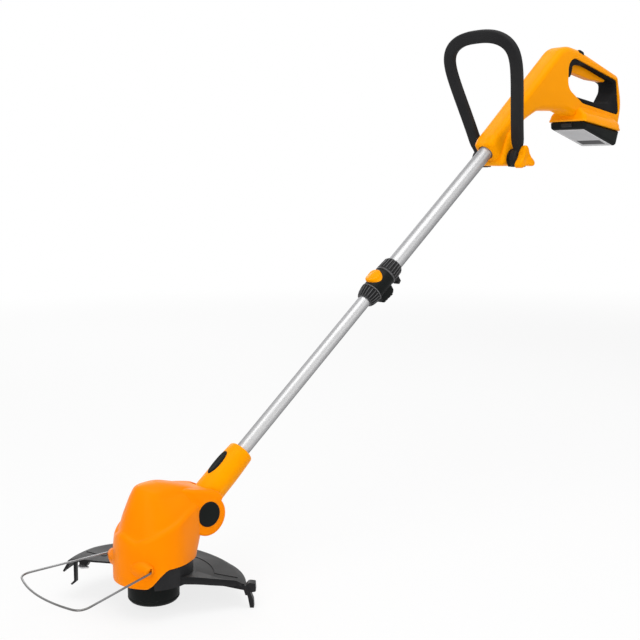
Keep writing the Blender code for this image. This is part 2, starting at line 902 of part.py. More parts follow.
def loop_path():
    """Centre line of the loop in its leaning plane, from the left foot over to the right."""
    up = Vector((-math.sin(LOOP_LEAN), 0, math.cos(LOOP_LEAN)))
    base = Vector((LOOP_PIVOT_X, 0, LOOP_PIVOT_Z))
    corners = [
        (-LOOP_FOOT_HALF, 0.0, 0.0),
        (-LOOP_FOOT_HALF - 0.0050, 0.030, 0.06),
        (-LOOP_SHOULDER_HALF - 0.0060, LOOP_SHOULDER_HEIGHT + 0.020, 0.042),
        (-LOOP_SHOULDER_HALF + 0.030, LOOP_HEIGHT + 0.0040, 0.060),
        (LOOP_SHOULDER_HALF - 0.030, LOOP_HEIGHT + 0.0040, 0.060),
        (LOOP_SHOULDER_HALF + 0.0060, LOOP_SHOULDER_HEIGHT + 0.020, 0.042),
        (LOOP_FOOT_HALF + 0.0050, 0.030, 0.06),
        (LOOP_FOOT_HALF, 0.0, 0.0),
    ]
    outline = rounded_polygon(corners, math.radians(17))
    points = []
    for i, (y, u) in enumerate(outline):
        point = base + Vector((0, y, 0)) + up * u
        if points and (point - points[-1]).length > 0.06:
            points.append((points[-1] + point) / 2)
        points.append(point)
    return points


def screw(name, place, side, frame):
    """Pan-head screw in the side of a housing, its head outwards."""
    x, y, z = place
    profile = [
        (SCREW_R * 0.45, y - side * 0.0080),
        (SCREW_R * 0.45, y),
        (SCREW_R, y),
        (SCREW_R, y + side * SCREW_HEAD * 0.6),
        (SCREW_R * 0.7, y + side * SCREW_HEAD),
    ]
    return turned(name, profile, steel, frame, (x, 0, z), axis="Y", segments=10)


def screw_post(name, place, frame):
    """Column of plastic left standing round a screw."""
    x, y, z = place
    return turned(name, [(POST_R, -0.08), (POST_R, 0.08)], steel, frame, (x, 0, z), axis="Y", segments=10)


def screw_well(name, place, side, frame):
    x, y, z = place
    bore = [
        (SCREW_R * 0.45 + SEAT_GAP, y - side * (0.0080 + SEAT_GAP)),
        (SCREW_R * 0.45 + SEAT_GAP, y - side * SEAT_GAP),
        (SCREW_R + SEAT_GAP, y - side * SEAT_GAP),
        (SCREW_R + SEAT_GAP, y + side * 0.030),
    ]
    return turned(name, bore, steel, frame, (x, 0, z), axis="Y", segments=10)


def make_loop_handle():
    lean_side = Vector((math.cos(LOOP_LEAN), 0, math.sin(LOOP_LEAN)))
    wide = LOOP_WIDE
    deep = LOOP_DEEP
    flat = 0.55
    section = [
        (wide, -deep * flat),
        (wide, deep * flat),
        (wide * flat, deep),
        (-wide * flat, deep),
        (-wide, deep * flat),
        (-wide, -deep * flat),
        (-wide * flat, -deep),
        (wide * flat, -deep),
    ]
    origin = (LOOP_PIVOT_X, 0, LOOP_PIVOT_Z)
    loop = sweep("loop_handle", loop_path(), section, grip_rubber, handle_frame, origin, side=lean_side)
    for side, name in ((-1, "loop_eye_left"), (1, "loop_eye_right")):
        inner = side * (LOOP_FOOT_HALF - 0.0065)
        outer = side * (LOOP_FOOT_HALF + 0.0065)
        low, high = sorted((inner, outer))
        profile = [
            (LOOP_EYE_R - 0.0015, low),
            (LOOP_EYE_R, low + 0.0015),
            (LOOP_EYE_R, high - 0.0015),
            (LOOP_EYE_R - 0.0015, high),
        ]
        fuse(loop, turned(name, profile, grip_rubber, handle_frame, origin, axis="Y", segments=20))
        face_low, face_high = sorted((inner, side * 0.0))
        cut(
            loop,
            turned(
                f"{name}_face",
                [(0.030, face_low), (0.030, face_high)],
                grip_rubber,
                handle_frame,
                origin,
                axis="Y",
                segments=20,
            ),
        )
        face_low, face_high = sorted((outer, side * 0.080))
        cut(
            loop,
            turned(
                f"{name}_outer_face",
                [(0.0270, face_low), (0.0270, face_high)],
                grip_rubber,
                handle_frame,
                origin,
                axis="Y",
                segments=20,
            ),
        )
    bore = turned(
        "loop_bore",
        [(BOLT_R + RUN_GAP, -0.090), (BOLT_R + RUN_GAP, 0.090)],
        grip_rubber,
        handle_frame,
        origin,
        axis="Y",
        segments=16,
    )
    below = slab(
        "loop_below",
        [
            (LOOP_PIVOT_X - 0.03, LOOP_PIVOT_Z - LOOP_EYE_R - 0.03),
            (LOOP_PIVOT_X + 0.03, LOOP_PIVOT_Z - LOOP_EYE_R - 0.03),
            (LOOP_PIVOT_X + 0.03, LOOP_PIVOT_Z - LOOP_EYE_R + 0.0005),
            (LOOP_PIVOT_X - 0.03, LOOP_PIVOT_Z - LOOP_EYE_R + 0.0005),
        ],
        -0.09,
        0.09,
        grip_rubber,
        handle_frame,
    )
    cut(loop, bore, below)
    return loop


def make_clamp():
    """Toothed discs, clamp bolt and star knob of the loop handle."""
    origin = (LOOP_PIVOT_X, 0, LOOP_PIVOT_Z)
    inner_face = LOOP_FOOT_HALF - 0.0065
    outer_face = LOOP_FOOT_HALF + 0.0065
    for side, name in ((-1, "pivot_disc_left"), (1, "pivot_disc_right")):
        low, high = sorted((side * (FOOT_HALF + SEAT_GAP), side * (inner_face - SEAT_GAP)))
        profile = [
            (BOLT_R + SEAT_GAP, low),
            (PIVOT_DISC_R, low),
            (PIVOT_DISC_R, high),
            (BOLT_R + SEAT_GAP, high),
        ]
        revolve(name, profile, black_plastic, handle_frame, origin, axis="Y", segments=20)
    bolt_end = -(outer_face + KNOB_DEPTH * 0.6)
    bolt = turned(
        "clamp_bolt",
        [
            (BOLT_R, bolt_end),
            (BOLT_R, outer_face + SEAT_GAP),
        ],
        steel,
        handle_frame,
        origin,
        axis="Y",
        segments=16,
    )
    head = turned(
        "bolt_head",
        [
            (0.0075, outer_face + SEAT_GAP),
            (0.0075, outer_face + 0.0038),
            (0.0055, outer_face + 0.0052),
        ],
        steel,
        handle_frame,
        origin,
        axis="Y",
        segments=16,
    )
    fuse(bolt, head)
    outline = []
    for i in range(36):
        a = 2 * math.pi * i / 36
        radius = KNOB_R + KNOB_LOBE * math.cos(3 * (a - math.radians(78)))
        outline.append((LOOP_PIVOT_X + radius * math.cos(a), LOOP_PIVOT_Z + radius * math.sin(a)))
    near = -outer_face - SEAT_GAP
    knob = slab(
        "star_knob",
        outline,
        near - KNOB_DEPTH,
        near,
        orange_plastic,
        handle_frame,
        origin,
        low_round=0.0035,
        high_round=0.0015,
    )
    bore = turned(
        "knob_bore",
        [(BOLT_R + SEAT_GAP, near + 0.01), (BOLT_R + SEAT_GAP, bolt_end - SEAT_GAP)],
        orange_plastic,
        handle_frame,
        origin,
        axis="Y",
        segments=16,
    )
    cut(knob, bore)
    return bolt, knob


# Shaft and coupling


def tube(name, outer, wall, start, end, material):
    profile = [(outer - wall, start), (outer, start), (outer, end), (outer - wall, end)]
    return revolve(name, profile, material, shaft_frame, axis="X", segments=24)


def ribbed(name, stations, bore, material):
    """Turned collar whose outside has ribs along the shaft."""
    rings = []
    count = RIB_COUNT * 3
    for position, radius, height in stations:
        ring = []
        for i in range(count):
            a = 2 * math.pi * i / count
            bump = 0.0 if i % 3 == 0 else height
            ring.append(Vector((position, (radius + bump) * math.cos(a), (radius + bump) * math.sin(a))))
        rings.append(ring)
    collar = loft(name, rings, material, shaft_frame)
    start = stations[0][0] - 0.01
    end = stations[-1][0] + 0.01
    cut(
        collar,
        turned(f"{name}_bore", [(bore, start), (bore, end)], material, shaft_frame, axis="X", segments=24),
    )
    return collar


def make_coupling():
    collar_end = coupling_top + COLLAR_LENGTH
    body_start = collar_end + SEAT_GAP
    body_end = coupling_end - NUT_LENGTH - SEAT_GAP
    nut_start = coupling_end - NUT_LENGTH
    collar = ribbed(
        "coupling_collar",
        [
            (coupling_top, COLLAR_TOP_R - 0.0010, 0.0),
            (coupling_top + 0.0020, COLLAR_TOP_R, RIB_HEIGHT),
            (collar_end - 0.0020, COLLAR_R - 0.0003, RIB_HEIGHT),
            (collar_end, COLLAR_R - 0.0012, 0.0),
        ],
        UPPER_TUBE_R + SEAT_GAP,
        black_plastic,
    )
    hook = [
        (coupling_top + 0.0040, -0.0145, 0.0),
        (coupling_top + 0.0040, -0.0290, 0.002),
        (coupling_top + 0.0130, -0.0300, 0.002),
        (coupling_top + 0.0130, -0.0260, 0.001),
        (coupling_top + 0.0085, -0.0250, 0.001),
        (coupling_top + 0.0100, -0.0145, 0.0),
    ]
    fuse(collar, slab("collar_hook", hook, -0.006, 0.006, black_plastic, shaft_frame))
    ribbed(
        "coupling_nut",
        [
            (nut_start, NUT_R - 0.0008, 0.0),
            (nut_start + 0.0018, NUT_R, RIB_HEIGHT),
            (coupling_end - 0.0095, NUT_R - 0.0020, RIB_HEIGHT),
            (coupling_end - 0.0015, NUT_END_R, RIB_HEIGHT * 0.6),
            (coupling_end, NUT_END_R - 0.0006, 0.0),
        ],
        LOWER_TUBE_R + SEAT_GAP,
        black_plastic,
    )
    body = turned(
        "coupling_body",
        [
            (COUPLING_R - 0.0006, body_start),
            (COUPLING_R, body_start + 0.0010),
            (COUPLING_R, body_end - 0.0010),
            (COUPLING_R - 0.0006, body_end),
        ],
        black_plastic,
        shaft_frame,
        axis="X",
        segments=24,
    )
    tube_end = body_end - 0.012
    wide_bore = turned(
        "coupling_upper_bore",
        [(UPPER_TUBE_R + SEAT_GAP, body_start - 0.01), (UPPER_TUBE_R + SEAT_GAP, tube_end + SEAT_GAP)],
        black_plastic,
        shaft_frame,
        axis="X",
        segments=24,
    )
    narrow_bore = turned(
        "coupling_lower_bore",
        [(LOWER_TUBE_R + SEAT_GAP, body_start), (LOWER_TUBE_R + SEAT_GAP, body_end + 0.01)],
        black_plastic,
        shaft_frame,
        axis="X",
        segments=24,
    )
    middle = (body_start + body_end) / 2 + 0.001
    well = button_form("button_well", middle, SEAT_GAP, 0.004, COUPLING_BUTTON_FLOOR_R - 0.0017)
    cut(body, wide_bore, narrow_bore, well)
    make_clip(body_start, body_end)
    button_form("coupling_button", middle, 0.0, 0.0, COUPLING_BUTTON_FLOOR_R)
    return tube_end


def button_form(name, middle, grow, extra, floor_r):
    """Saddle button over the top of the coupling, oval in plan, with a domed top and upright sides."""
    half = COUPLING_BUTTON_LENGTH / 2 + grow
    rings = []
    for i in range(7):
        along = math.sin(math.pi / 2 * (i / 3 - 1) * 0.985)
        wide = COUPLING_BUTTON_HALF * math.sqrt(1 - 0.94 * along**2) + grow
        top = COUPLING_BUTTON_R - 0.0040 * along**4 + extra
        ring = []
        steps = 6
        for k in range(steps + 1):
            share = 2 * k / steps - 1
            y = wide * math.sin(math.pi / 2 * share * 0.94) / math.sin(math.pi / 2 * 0.94)
            ring.append(Vector((middle + along * half, -y, math.sqrt(top**2 - y**2))))
        for k in range(steps, -1, -1):
            share = 2 * k / steps - 1
            y = wide * math.sin(math.pi / 2 * share * 0.94) / math.sin(math.pi / 2 * 0.94)
            ring.append(Vector((middle + along * half, -y, math.sqrt(max(floor_r**2 - y**2, 1e-6)))))
        rings.append(ring)
    return loft(name, rings, orange_plastic, shaft_frame, (middle, 0, 0))


def make_clip(start, end):
    """Spare-blade holder under the coupling, with its open hook towards the handle."""
    seat = COUPLING_R + SEAT_GAP
    middle = (start + end) / 2
    outline = [
        (middle - CLIP_LENGTH / 2, -seat * 0.72, 0.0),
        (middle - CLIP_LENGTH / 2 - 0.004, -seat - CLIP_DEPTH * 0.55, 0.003),
        (middle - CLIP_LENGTH / 2 + 0.003, -seat - CLIP_DEPTH, 0.004),
        (middle + CLIP_LENGTH / 2 - 0.005, -seat - CLIP_DEPTH, 0.004),
        (middle + CLIP_LENGTH / 2, -seat * 0.72, 0.0),
    ]
    half = CLIP_WIDTH
    edge = 0.002
    finish = black_plastic
    clip = slab("blade_clip", outline, -half, half, finish, shaft_frame, low_round=edge, high_round=edge)
    span = [(seat, start - 0.02), (seat, end + 0.02)]
    cut(clip, turned("clip_saddle", span, black_plastic, shaft_frame, axis="X", segments=28))
    gap = 0.0022
    for k in range(3):
        x = middle - CLIP_LENGTH / 2 + 0.0065 + k * 0.0070
        cut(
            clip,
            box(
                f"clip_slot_{k}",
                (x, -0.03, -seat - CLIP_DEPTH - 0.004),
                (x + gap, 0.03, -seat - CLIP_DEPTH * 0.45),
                black_plastic,
                shaft_frame,
            ),
        )
    return clip


# Neck


def neck_rings(grow=0.0):
    """Round neck from its mouth to the knuckle, a little taller than it is wide."""
    stations = [
        (neck_top, NECK_MOUTH_R - 0.0030),
        (neck_top + 0.0012, NECK_MOUTH_R - 0.0008),
        (neck_top + 0.0040, NECK_MOUTH_R),
        (neck_top + 0.0200, NECK_R - 0.0006),
        (neck_top + 0.0450, NECK_R),
        (pivot_at - 0.0300, NECK_R),
        (pivot_at, NECK_R - 0.0010),
    ]
    rings = []
    for position, radius in stations:
        ring = []
        for i in range(20):
            a = 2 * math.pi * i / 20
            y = (radius + grow) * math.cos(a)
            z = (radius + grow) * math.sin(a)
            ring.append(Vector((position, y, z)))
        rings.append(ring)
    return rings


def make_neck():
    origin = (pivot_at, 0, 0)
    bore = turned(
        "neck_bore",
        [
            (LOWER_TUBE_R + SEAT_GAP, neck_top - 0.01),
            (LOWER_TUBE_R + SEAT_GAP, neck_top + NECK_SOCKET_DEPTH + SEAT_GAP),
        ],
        orange_plastic,
        shaft_frame,
        axis="X",
        segments=24,
    )
    pin_bore = turned(
        "neck_pin_bore",
        [(PIN_R + RUN_GAP, -0.06), (PIN_R + RUN_GAP, 0.06)],
        orange_plastic,
        shaft_frame,
        origin,
        axis="Y",
        segments=16,
    )
    well = make_tilt_button("tilt_button_well", SEAT_GAP, 0.004)
    knuckle = turned(
        "knuckle_form",
        [
            (KNUCKLE_R - 0.0015, -KNUCKLE_HALF),
            (KNUCKLE_R, -KNUCKLE_HALF + 0.0015),
            (KNUCKLE_R, KNUCKLE_HALF - 0.0015),
            (KNUCKLE_R - 0.0015, KNUCKLE_HALF),
        ],
        orange_plastic,
        shaft_frame,
        origin,
        axis="Y",
        segments=28,
    )
    for side, name in ((1, "neck_shell_left"), (-1, "neck_shell_right")):
        shell = loft(name, neck_rings(), orange_plastic, shaft_frame)
        low, high = sorted((side * PARTING_GAP / 2, -side * 0.05))
        other = box(
            f"{name}_other_half",
            (neck_top - 0.02, low, -0.05),
            (pivot_at + 0.05, high, 0.05),
            orange_plastic,
            shaft_frame,
        )
        fuse(shell, knuckle)
        cut(shell, other, bore, pin_bore, well)
    return make_tilt_button("tilt_button", 0.0, 0.0)


def make_tilt_button(name, grow, extra):
    """Long oval button on the neck's upper side."""
    centre = Vector((neck_top + TILT_BUTTON_AT, 0, NECK_R))
    rings = []
    for height, shrink in (
        (-TILT_BUTTON_DEPTH - extra - grow, 0.0),
        (TILT_BUTTON_PROUD * 0.3 + extra, 0.0),
        (TILT_BUTTON_PROUD + extra, 0.0016),
    ):
        ring = []
        for u, v in circle(1.0, 20):
            x = u * (TILT_BUTTON_LENGTH / 2 + grow - shrink)
            y = v * (TILT_BUTTON_WIDTH / 2 + grow - shrink)
            drop = NECK_R - math.sqrt(NECK_R**2 - min(abs(y), NECK_R * 0.9) ** 2)
            if height < 0:
                drop = 0.0
            ring.append(centre + Vector((x, y, height - drop)))
        rings.append(ring)
    return loft(name, rings, black_plastic, shaft_frame, tuple(centre))


# Head


def plan_radius(angle, front, rear, half):
    """Plan of the motor housing: round in front, its sides drawn in behind towards the hub."""
    c = math.cos(angle)
    s = abs(math.sin(angle))
    if c <= 1e-6:
        return front
    run = rear * 0.80
    side = front * run / ((front - half) * c + run * s)
    end = rear / c
    return (side**-9 + end**-9) ** (-1 / 9)


def shoulder_height(angle):
    """Height of the crease round the housing, lowest on the flanks and highest at the hub."""
    turn = abs(math.degrees(math.remainder(angle, 2 * math.pi)))
    falling = 0.1370 - 0.000327 * max(turn - 33, 0)
    dip = 0.0995
    if turn < 146:
        return max(falling, dip)
    return dip + 0.0080 * ease((turn - 146) / 34)


def plan_ring(front, rear, half, height):
    """Ring round the spool axis; height is a number or a function of the angle and x."""
    ring = []
    count = 32
    for i in range(count):
        a = 2 * math.pi * i / count
        radius = plan_radius(a, front, rear, half)
        x = radius * math.cos(a)
        y = radius * math.sin(a)
        ring.append(Vector((x, y, height(a, x))))
    return ring


def make_step(name, grow):
    """The housing's cut-away behind, with its slanted step down to the front skirt."""
    shape = [
        (STEP_BACK_FOOT, SKIRT_BOTTOM - 0.0100),
        (0.1300, SKIRT_BOTTOM - 0.0100),
        (0.1300, REAR_BOTTOM),
        (STEP_BACK_TOP + 0.0030, REAR_BOTTOM),
        (STEP_BACK_TOP - 0.0020, REAR_BOTTOM - 0.0022),
        (STEP_BACK_TOP - 0.0100, REAR_BOTTOM - 0.0090),
        (STEP_BACK_FOOT + 0.0060, SKIRT_BOTTOM + 0.0050),
        (STEP_BACK_FOOT, SKIRT_BOTTOM),
    ]
    return slab(name, inset(shape, -grow), -0.080, 0.080, orange_plastic, head_frame)


def crown(drop, slope):
    """Height of the roof rings, which fall away behind the motor."""
    return lambda a, x: CROWN_HEIGHT - drop - slope * max(x - 0.008, 0.0)


def head_screws():
    """The screws that close the motor housing, driven in from its right side."""
    return [
        ("head_screw_1", (0.0250, 0.0430, 0.0800)),
        ("head_screw_2", (-0.0300, 0.0400, 0.0900)),
        ("head_screw_3", (0.0300, 0.0310, 0.1400)),
    ]


def make_housing():
    def wall(share, rise):
        return lambda a, x: REAR_BOTTOM + (shoulder_height(a) - REAR_BOTTOM) * share + rise

    def cover(share):
        def height(a, x):
            low = shoulder_height(a) + 0.0040
            return low + (CAP_HEIGHT - 0.10 * max(x + 0.015, 0.0) - low) * share

        return height

    rings = [
        plan_ring(SKIRT_R - 0.0015, 0.0490, 0.0380, lambda a, x: SKIRT_BOTTOM),
        plan_ring(SKIRT_R, 0.0505, 0.0395, lambda a, x: SKIRT_BOTTOM + 0.0020),
        plan_ring(SKIRT_R, 0.0560, 0.0400, wall(0.0, 0.0)),
        plan_ring(SKIRT_R - 0.0005, 0.0705, HUB_HALF + 0.0030, wall(0.5, 0.0)),
        plan_ring(SKIRT_R - 0.0020, 0.0720, HUB_HALF + 0.0010, wall(1.0, -0.0040)),
        plan_ring(SKIRT_R - 0.0032, 0.0730, HUB_HALF - 0.0008, wall(1.0, 0.0)),
        plan_ring(COVER_R + 0.0006, 0.0725, HUB_HALF - 0.0040, wall(1.0, 0.0030)),
        plan_ring(COVER_R - 0.0008, 0.0730, HUB_HALF - 0.0048, cover(0.03)),
        plan_ring(0.0390, 0.0735, HUB_HALF - 0.0075, cover(0.50)),
        plan_ring(0.0312, 0.0740, 0.0250, cover(0.86)),
        plan_ring(CAP_R, 0.0740, 0.0220, cover(1.0)),
        plan_ring(CAP_R - 0.0030, 0.0730, 0.0190, crown(0.0040, 0.210)),
        plan_ring(CAP_R - 0.0100, 0.0660, 0.0140, crown(0.0012, 0.225)),
        plan_ring(CAP_R - 0.0190, 0.0400, 0.0060, crown(0.0, 0.230)),
    ]
    pin_origin = (PIVOT_BACK, 0, PIVOT_HEIGHT)
    ear_origin = (PIVOT_BACK, 0, PIVOT_HEIGHT - EAR_DROP)
    ears = turned(
        "ear_form",
        [
            (EAR_R - 0.0025, -EAR_HALF),
            (EAR_R, -EAR_HALF + 0.0025),
            (EAR_R, EAR_HALF - 0.0025),
            (EAR_R - 0.0025, EAR_HALF),
        ],
        orange_plastic,
        head_frame,
        ear_origin,
        axis="Y",
        segments=28,
    )
    clear = KNUCKLE_HALF + RUN_GAP
    swing = neck_swing_outline(KNUCKLE_R + RUN_GAP)
    clevis = slab("clevis_gap", swing, -clear, clear, orange_plastic, head_frame)
    spool_room = turned(
        "spool_room",
        [(SKIRT_R - SKIRT_WALL, SKIRT_BOTTOM - 0.01), (SKIRT_R - SKIRT_WALL, REAR_BOTTOM - 0.0008)],
        orange_plastic,
        head_frame,
        segments=28,
    )
    motor_room = turned(
        "motor_room",
        [
            (0.0120, REAR_BOTTOM - 0.01),
            (0.0120, MOTOR_BOTTOM - SEAT_GAP),
            (MOTOR_R + SEAT_GAP, MOTOR_BOTTOM - SEAT_GAP),
            (MOTOR_R + SEAT_GAP, MOTOR_BOTTOM + MOTOR_LENGTH + SEAT_GAP),
        ],
        orange_plastic,
        head_frame,
        segments=24,
    )
    pin_bore = turned(
        "ear_pin_bore",
        [(PIN_R + SEAT_GAP, -0.06), (PIN_R + SEAT_GAP, 0.06)],
        orange_plastic,
        head_frame,
        pin_origin,
        axis="Y",
        segments=16,
    )
    wire_origin = (WIRE_PIVOT_X, 0, WIRE_PIVOT_Z)
    bosses = turned(
        "wire_bosses",
        [
            (WIRE_BOSS_R - 0.0030, -WIRE_BOSS_HALF),
            (WIRE_BOSS_R, -WIRE_BOSS_HALF + 0.0040),
            (WIRE_BOSS_R, WIRE_BOSS_HALF - 0.0040),
            (WIRE_BOSS_R - 0.0030, WIRE_BOSS_HALF),
        ],
        orange_plastic,
        head_frame,
        wire_origin,
        axis="Y",
        segments=16,
    )
    wire_bore = turned(
        "wire_bore",
        [(WIRE_R + SEAT_GAP, -0.06), (WIRE_R + SEAT_GAP, 0.06)],
        orange_plastic,
        head_frame,
        wire_origin,
        axis="Y",
        segments=10,
    )
    floor_cavity = turned(
        "floor_cavity",
        [
            (FLOOR_CAVITY_R, REAR_BOTTOM + 0.0035),
            (FLOOR_CAVITY_R, MOTOR_BOTTOM + 0.0090),
            (MOTOR_R + 0.0010, MOTOR_BOTTOM + 0.0160),
        ],
        orange_plastic,
        head_frame,
        segments=24,
    )
    cut(floor_cavity, *[screw_post(f"post_{n}", place, head_frame) for n, place in head_screws()])
    step = make_step("rear_step", 0.0)
    for side, name in ((-1, "motor_housing_left"), (1, "motor_housing_right")):
        shell = loft(name, rings, orange_plastic, head_frame, pin_origin)
        low, high = sorted((side * PARTING_GAP / 2, -side * 0.09))
        other = box(f"{name}_other_half", (-0.12, low, 0.0), (0.15, high, 0.25), orange_plastic, head_frame)
        well_low, well_high = sorted((side * (EAR_HALF + 0.01), side * (EAR_HALF - HUB_CAP_DEPTH + 0.0008)))
        cap_well = turned(
            f"{name}_cap_well",
            [(HUB_CAP_R + SEAT_GAP, well_low), (HUB_CAP_R + SEAT_GAP, well_high)],
            orange_plastic,
            head_frame,
            pin_origin,
            axis="Y",
            segments=24,
        )
        fuse(shell, ears, bosses)
        if side > 0:
            cut(shell, *[screw_well(f"well_{n}", place, 1, head_frame) for n, place in head_screws()])
        cut(shell, other, clevis, floor_cavity, spool_room, motor_room, step, pin_bore, cap_well, wire_bore)


def neck_swing_outline(radius):
    """Everything that the neck sweeps between the ears, from its carrying angle to flat."""
    centre = Vector((PIVOT_BACK, PIVOT_HEIGHT))
    top = SHAFT_PITCH
    bottom = SHAFT_PITCH - TILT_RANGE - math.radians(2)
    reach = 0.16
    points = []
    up = Vector((math.cos(top), math.sin(top)))
    points.append(centre + up * reach + Vector((-up.y, up.x)) * radius)
    first = top + math.pi / 2
    last = bottom + 3 * math.pi / 2
    for k in range(17):
        a = first + (last - first) * k / 16
        points.append(centre + Vector((math.cos(a), math.sin(a))) * radius)
    down = Vector((math.cos(bottom), math.sin(bottom)))
    points.append(centre + down * reach - Vector((-down.y, down.x)) * radius)
    return [(p.x, p.y) for p in points]


def make_hub():
    origin = (PIVOT_BACK, 0, PIVOT_HEIGHT)
    inner = EAR_HALF - HUB_CAP_DEPTH + 0.0008
    turned(
        "hub_pin",
        [(PIN_R, -inner + SEAT_GAP), (PIN_R, inner - SEAT_GAP)],
        steel,
        head_frame,
        origin,
        axis="Y",
        segments=16,
    )
    for side, name in ((-1, "hub_cap_left"), (1, "hub_cap_right")):
        seat = side * (inner + SEAT_GAP)
        face = side * (EAR_HALF + 0.0012)
        profile = [
            (HUB_CAP_R, seat),
            (HUB_CAP_R, side * (EAR_HALF + 0.0002)),
            (HUB_CAP_R - 0.0012, face),
        ]
        turned(name, profile, black_plastic, head_frame, origin, axis="Y", segments=24)


def make_motor_and_spool():
    motor_top = MOTOR_BOTTOM + MOTOR_LENGTH
    wall = MOTOR_WALL
    revolve(
        "motor_can",
        [
            (SHAFT_R + RUN_GAP, MOTOR_BOTTOM),
            (MOTOR_R - 0.001, MOTOR_BOTTOM),
            (MOTOR_R, MOTOR_BOTTOM + 0.001),
            (MOTOR_R, motor_top - 0.001),
            (MOTOR_R - 0.001, motor_top),
            (SHAFT_R + RUN_GAP, motor_top),
            (SHAFT_R + RUN_GAP, motor_top - wall),
            (MOTOR_R - wall, motor_top - wall),
            (MOTOR_R - wall, MOTOR_BOTTOM + wall),
            (SHAFT_R + RUN_GAP, MOTOR_BOTTOM + wall),
        ],
        steel,
        head_frame,
        (0, 0, 0),
    )
    revolve(
        "rotor",
        [
            (SHAFT_R + SEAT_GAP, MOTOR_BOTTOM + ROTOR_INSET),
            (ROTOR_R, MOTOR_BOTTOM + ROTOR_INSET),
            (ROTOR_R, motor_top - ROTOR_INSET),
            (SHAFT_R + SEAT_GAP, motor_top - ROTOR_INSET),
        ],
        copper,
        head_frame,
    )
    reel_bottom = BUMP_HEIGHT + BUMP_TRAVEL + 0.004
    turned(
        "motor_shaft",
        [(SHAFT_R, reel_bottom + 0.0004), (SHAFT_R, MOTOR_BOTTOM + MOTOR_LENGTH - 0.0005)],
        steel,
        head_frame,
        segments=16,
    )
    top = SPOOL_TOP
    revolve(
        "spool_cup",
        [
            (SHAFT_R + SEAT_GAP, top),
            (SPOOL_R - 0.004, top),
            (SPOOL_R, top - 0.004),
            (SPOOL_R, 0.0085),
            (SPOOL_R - 0.0015, 0.0062),
            (SPOOL_R - 0.0045, 0.0040),
            (BUMP_R + 0.0025, 0.0030),
            (BUMP_R + RUN_GAP, 0.0030),
            (BUMP_R + RUN_GAP, 0.0055),
            (SPOOL_R - SPOOL_WALL - 0.001, 0.0085),
            (SPOOL_R - SPOOL_WALL, 0.0110),
            (SPOOL_R - SPOOL_WALL, top - SPOOL_WALL),
            (SHAFT_R + SEAT_GAP, top - SPOOL_WALL),
        ],
        black_plastic,
        head_frame,
        segments=28,
    )
    reel_top = top - SPOOL_WALL - SEAT_GAP
    revolve(
        "line_reel",
        [
            (SHAFT_R + SEAT_GAP, reel_top),
            (REEL_R, reel_top),
            (REEL_R, reel_top - 0.0020),
            (REEL_CORE_R, reel_top - 0.0020),
            (REEL_CORE_R, reel_bottom + 0.0020),
            (REEL_R, reel_bottom + 0.0020),
            (REEL_R, reel_bottom),
            (SHAFT_R + SEAT_GAP, reel_bottom),
        ],
        black_plastic,
        head_frame,
    )
    revolve(
        "wound_line",
        [
            (REEL_CORE_R + SEAT_GAP, reel_top - 0.0020 - SEAT_GAP),
            (REEL_R - 0.0030, reel_top - 0.0020 - SEAT_GAP),
            (REEL_R - 0.0030, reel_bottom + 0.0020 + SEAT_GAP),
            (REEL_CORE_R + SEAT_GAP, reel_bottom + 0.0020 + SEAT_GAP),
        ],
        line_nylon,
        head_frame,
    )
    make_spring(reel_bottom - SEAT_GAP)
    turned(
        "bump_knob",
        [
            (BUMP_R - 0.0060, 0.0),
            (BUMP_R - 0.0030, 0.0006),
            (BUMP_R - 0.0010, 0.0022),
            (BUMP_R, 0.0048),
            (BUMP_R, BUMP_HEIGHT),
        ],
        black_plastic,
        head_frame,
        segments=28,
    )


def make_spring(top):
    """Coil spring between the bump knob and the reel."""
    bottom = BUMP_HEIGHT + SEAT_GAP
    steps = 12
    count = SPRING_TURNS * steps
    path = []
    for k in range(count + 1):
        a = 2 * math.pi * k / steps
        height = bottom + SPRING_WIRE_R + (top - bottom - 2 * SPRING_WIRE_R) * k / count
        path.append(Vector((SPRING_R * math.cos(a), SPRING_R * math.sin(a), height)))
    return sweep("bump_spring", path, circle(SPRING_WIRE_R, 5), steel, head_frame, side=Vector((0, 0, 1)))


def guard_height(x, y, height):
    """Height of a point of the guard: outside the collar its dish tilts down towards the user's left."""
    radius = math.hypot(x, y)
    offset = GUARD_LEAN * y - GUARD_TILT * x
    if offset > 0:
        share = (radius - GUARD_COLLAR_R) / 0.0020
    else:
        share = (radius - GUARD_COLLAR_R) / (GUARD_R - GUARD_COLLAR_R)
    return height + min(max(offset, -GUARD_DROP), GUARD_RISE) * min(max(share, 0.0), 1.0)


def guard_rings(profile, start, end, count):
    rings = []
    for i in range(count + 1):
        a = start + (end - start) * i / count
        ring = []
        for radius, height in profile:
            x = radius * math.cos(a)
            y = radius * math.sin(a)
            ring.append(Vector((x, y, guard_height(x, y, height))))
        rings.append(ring)
    return rings


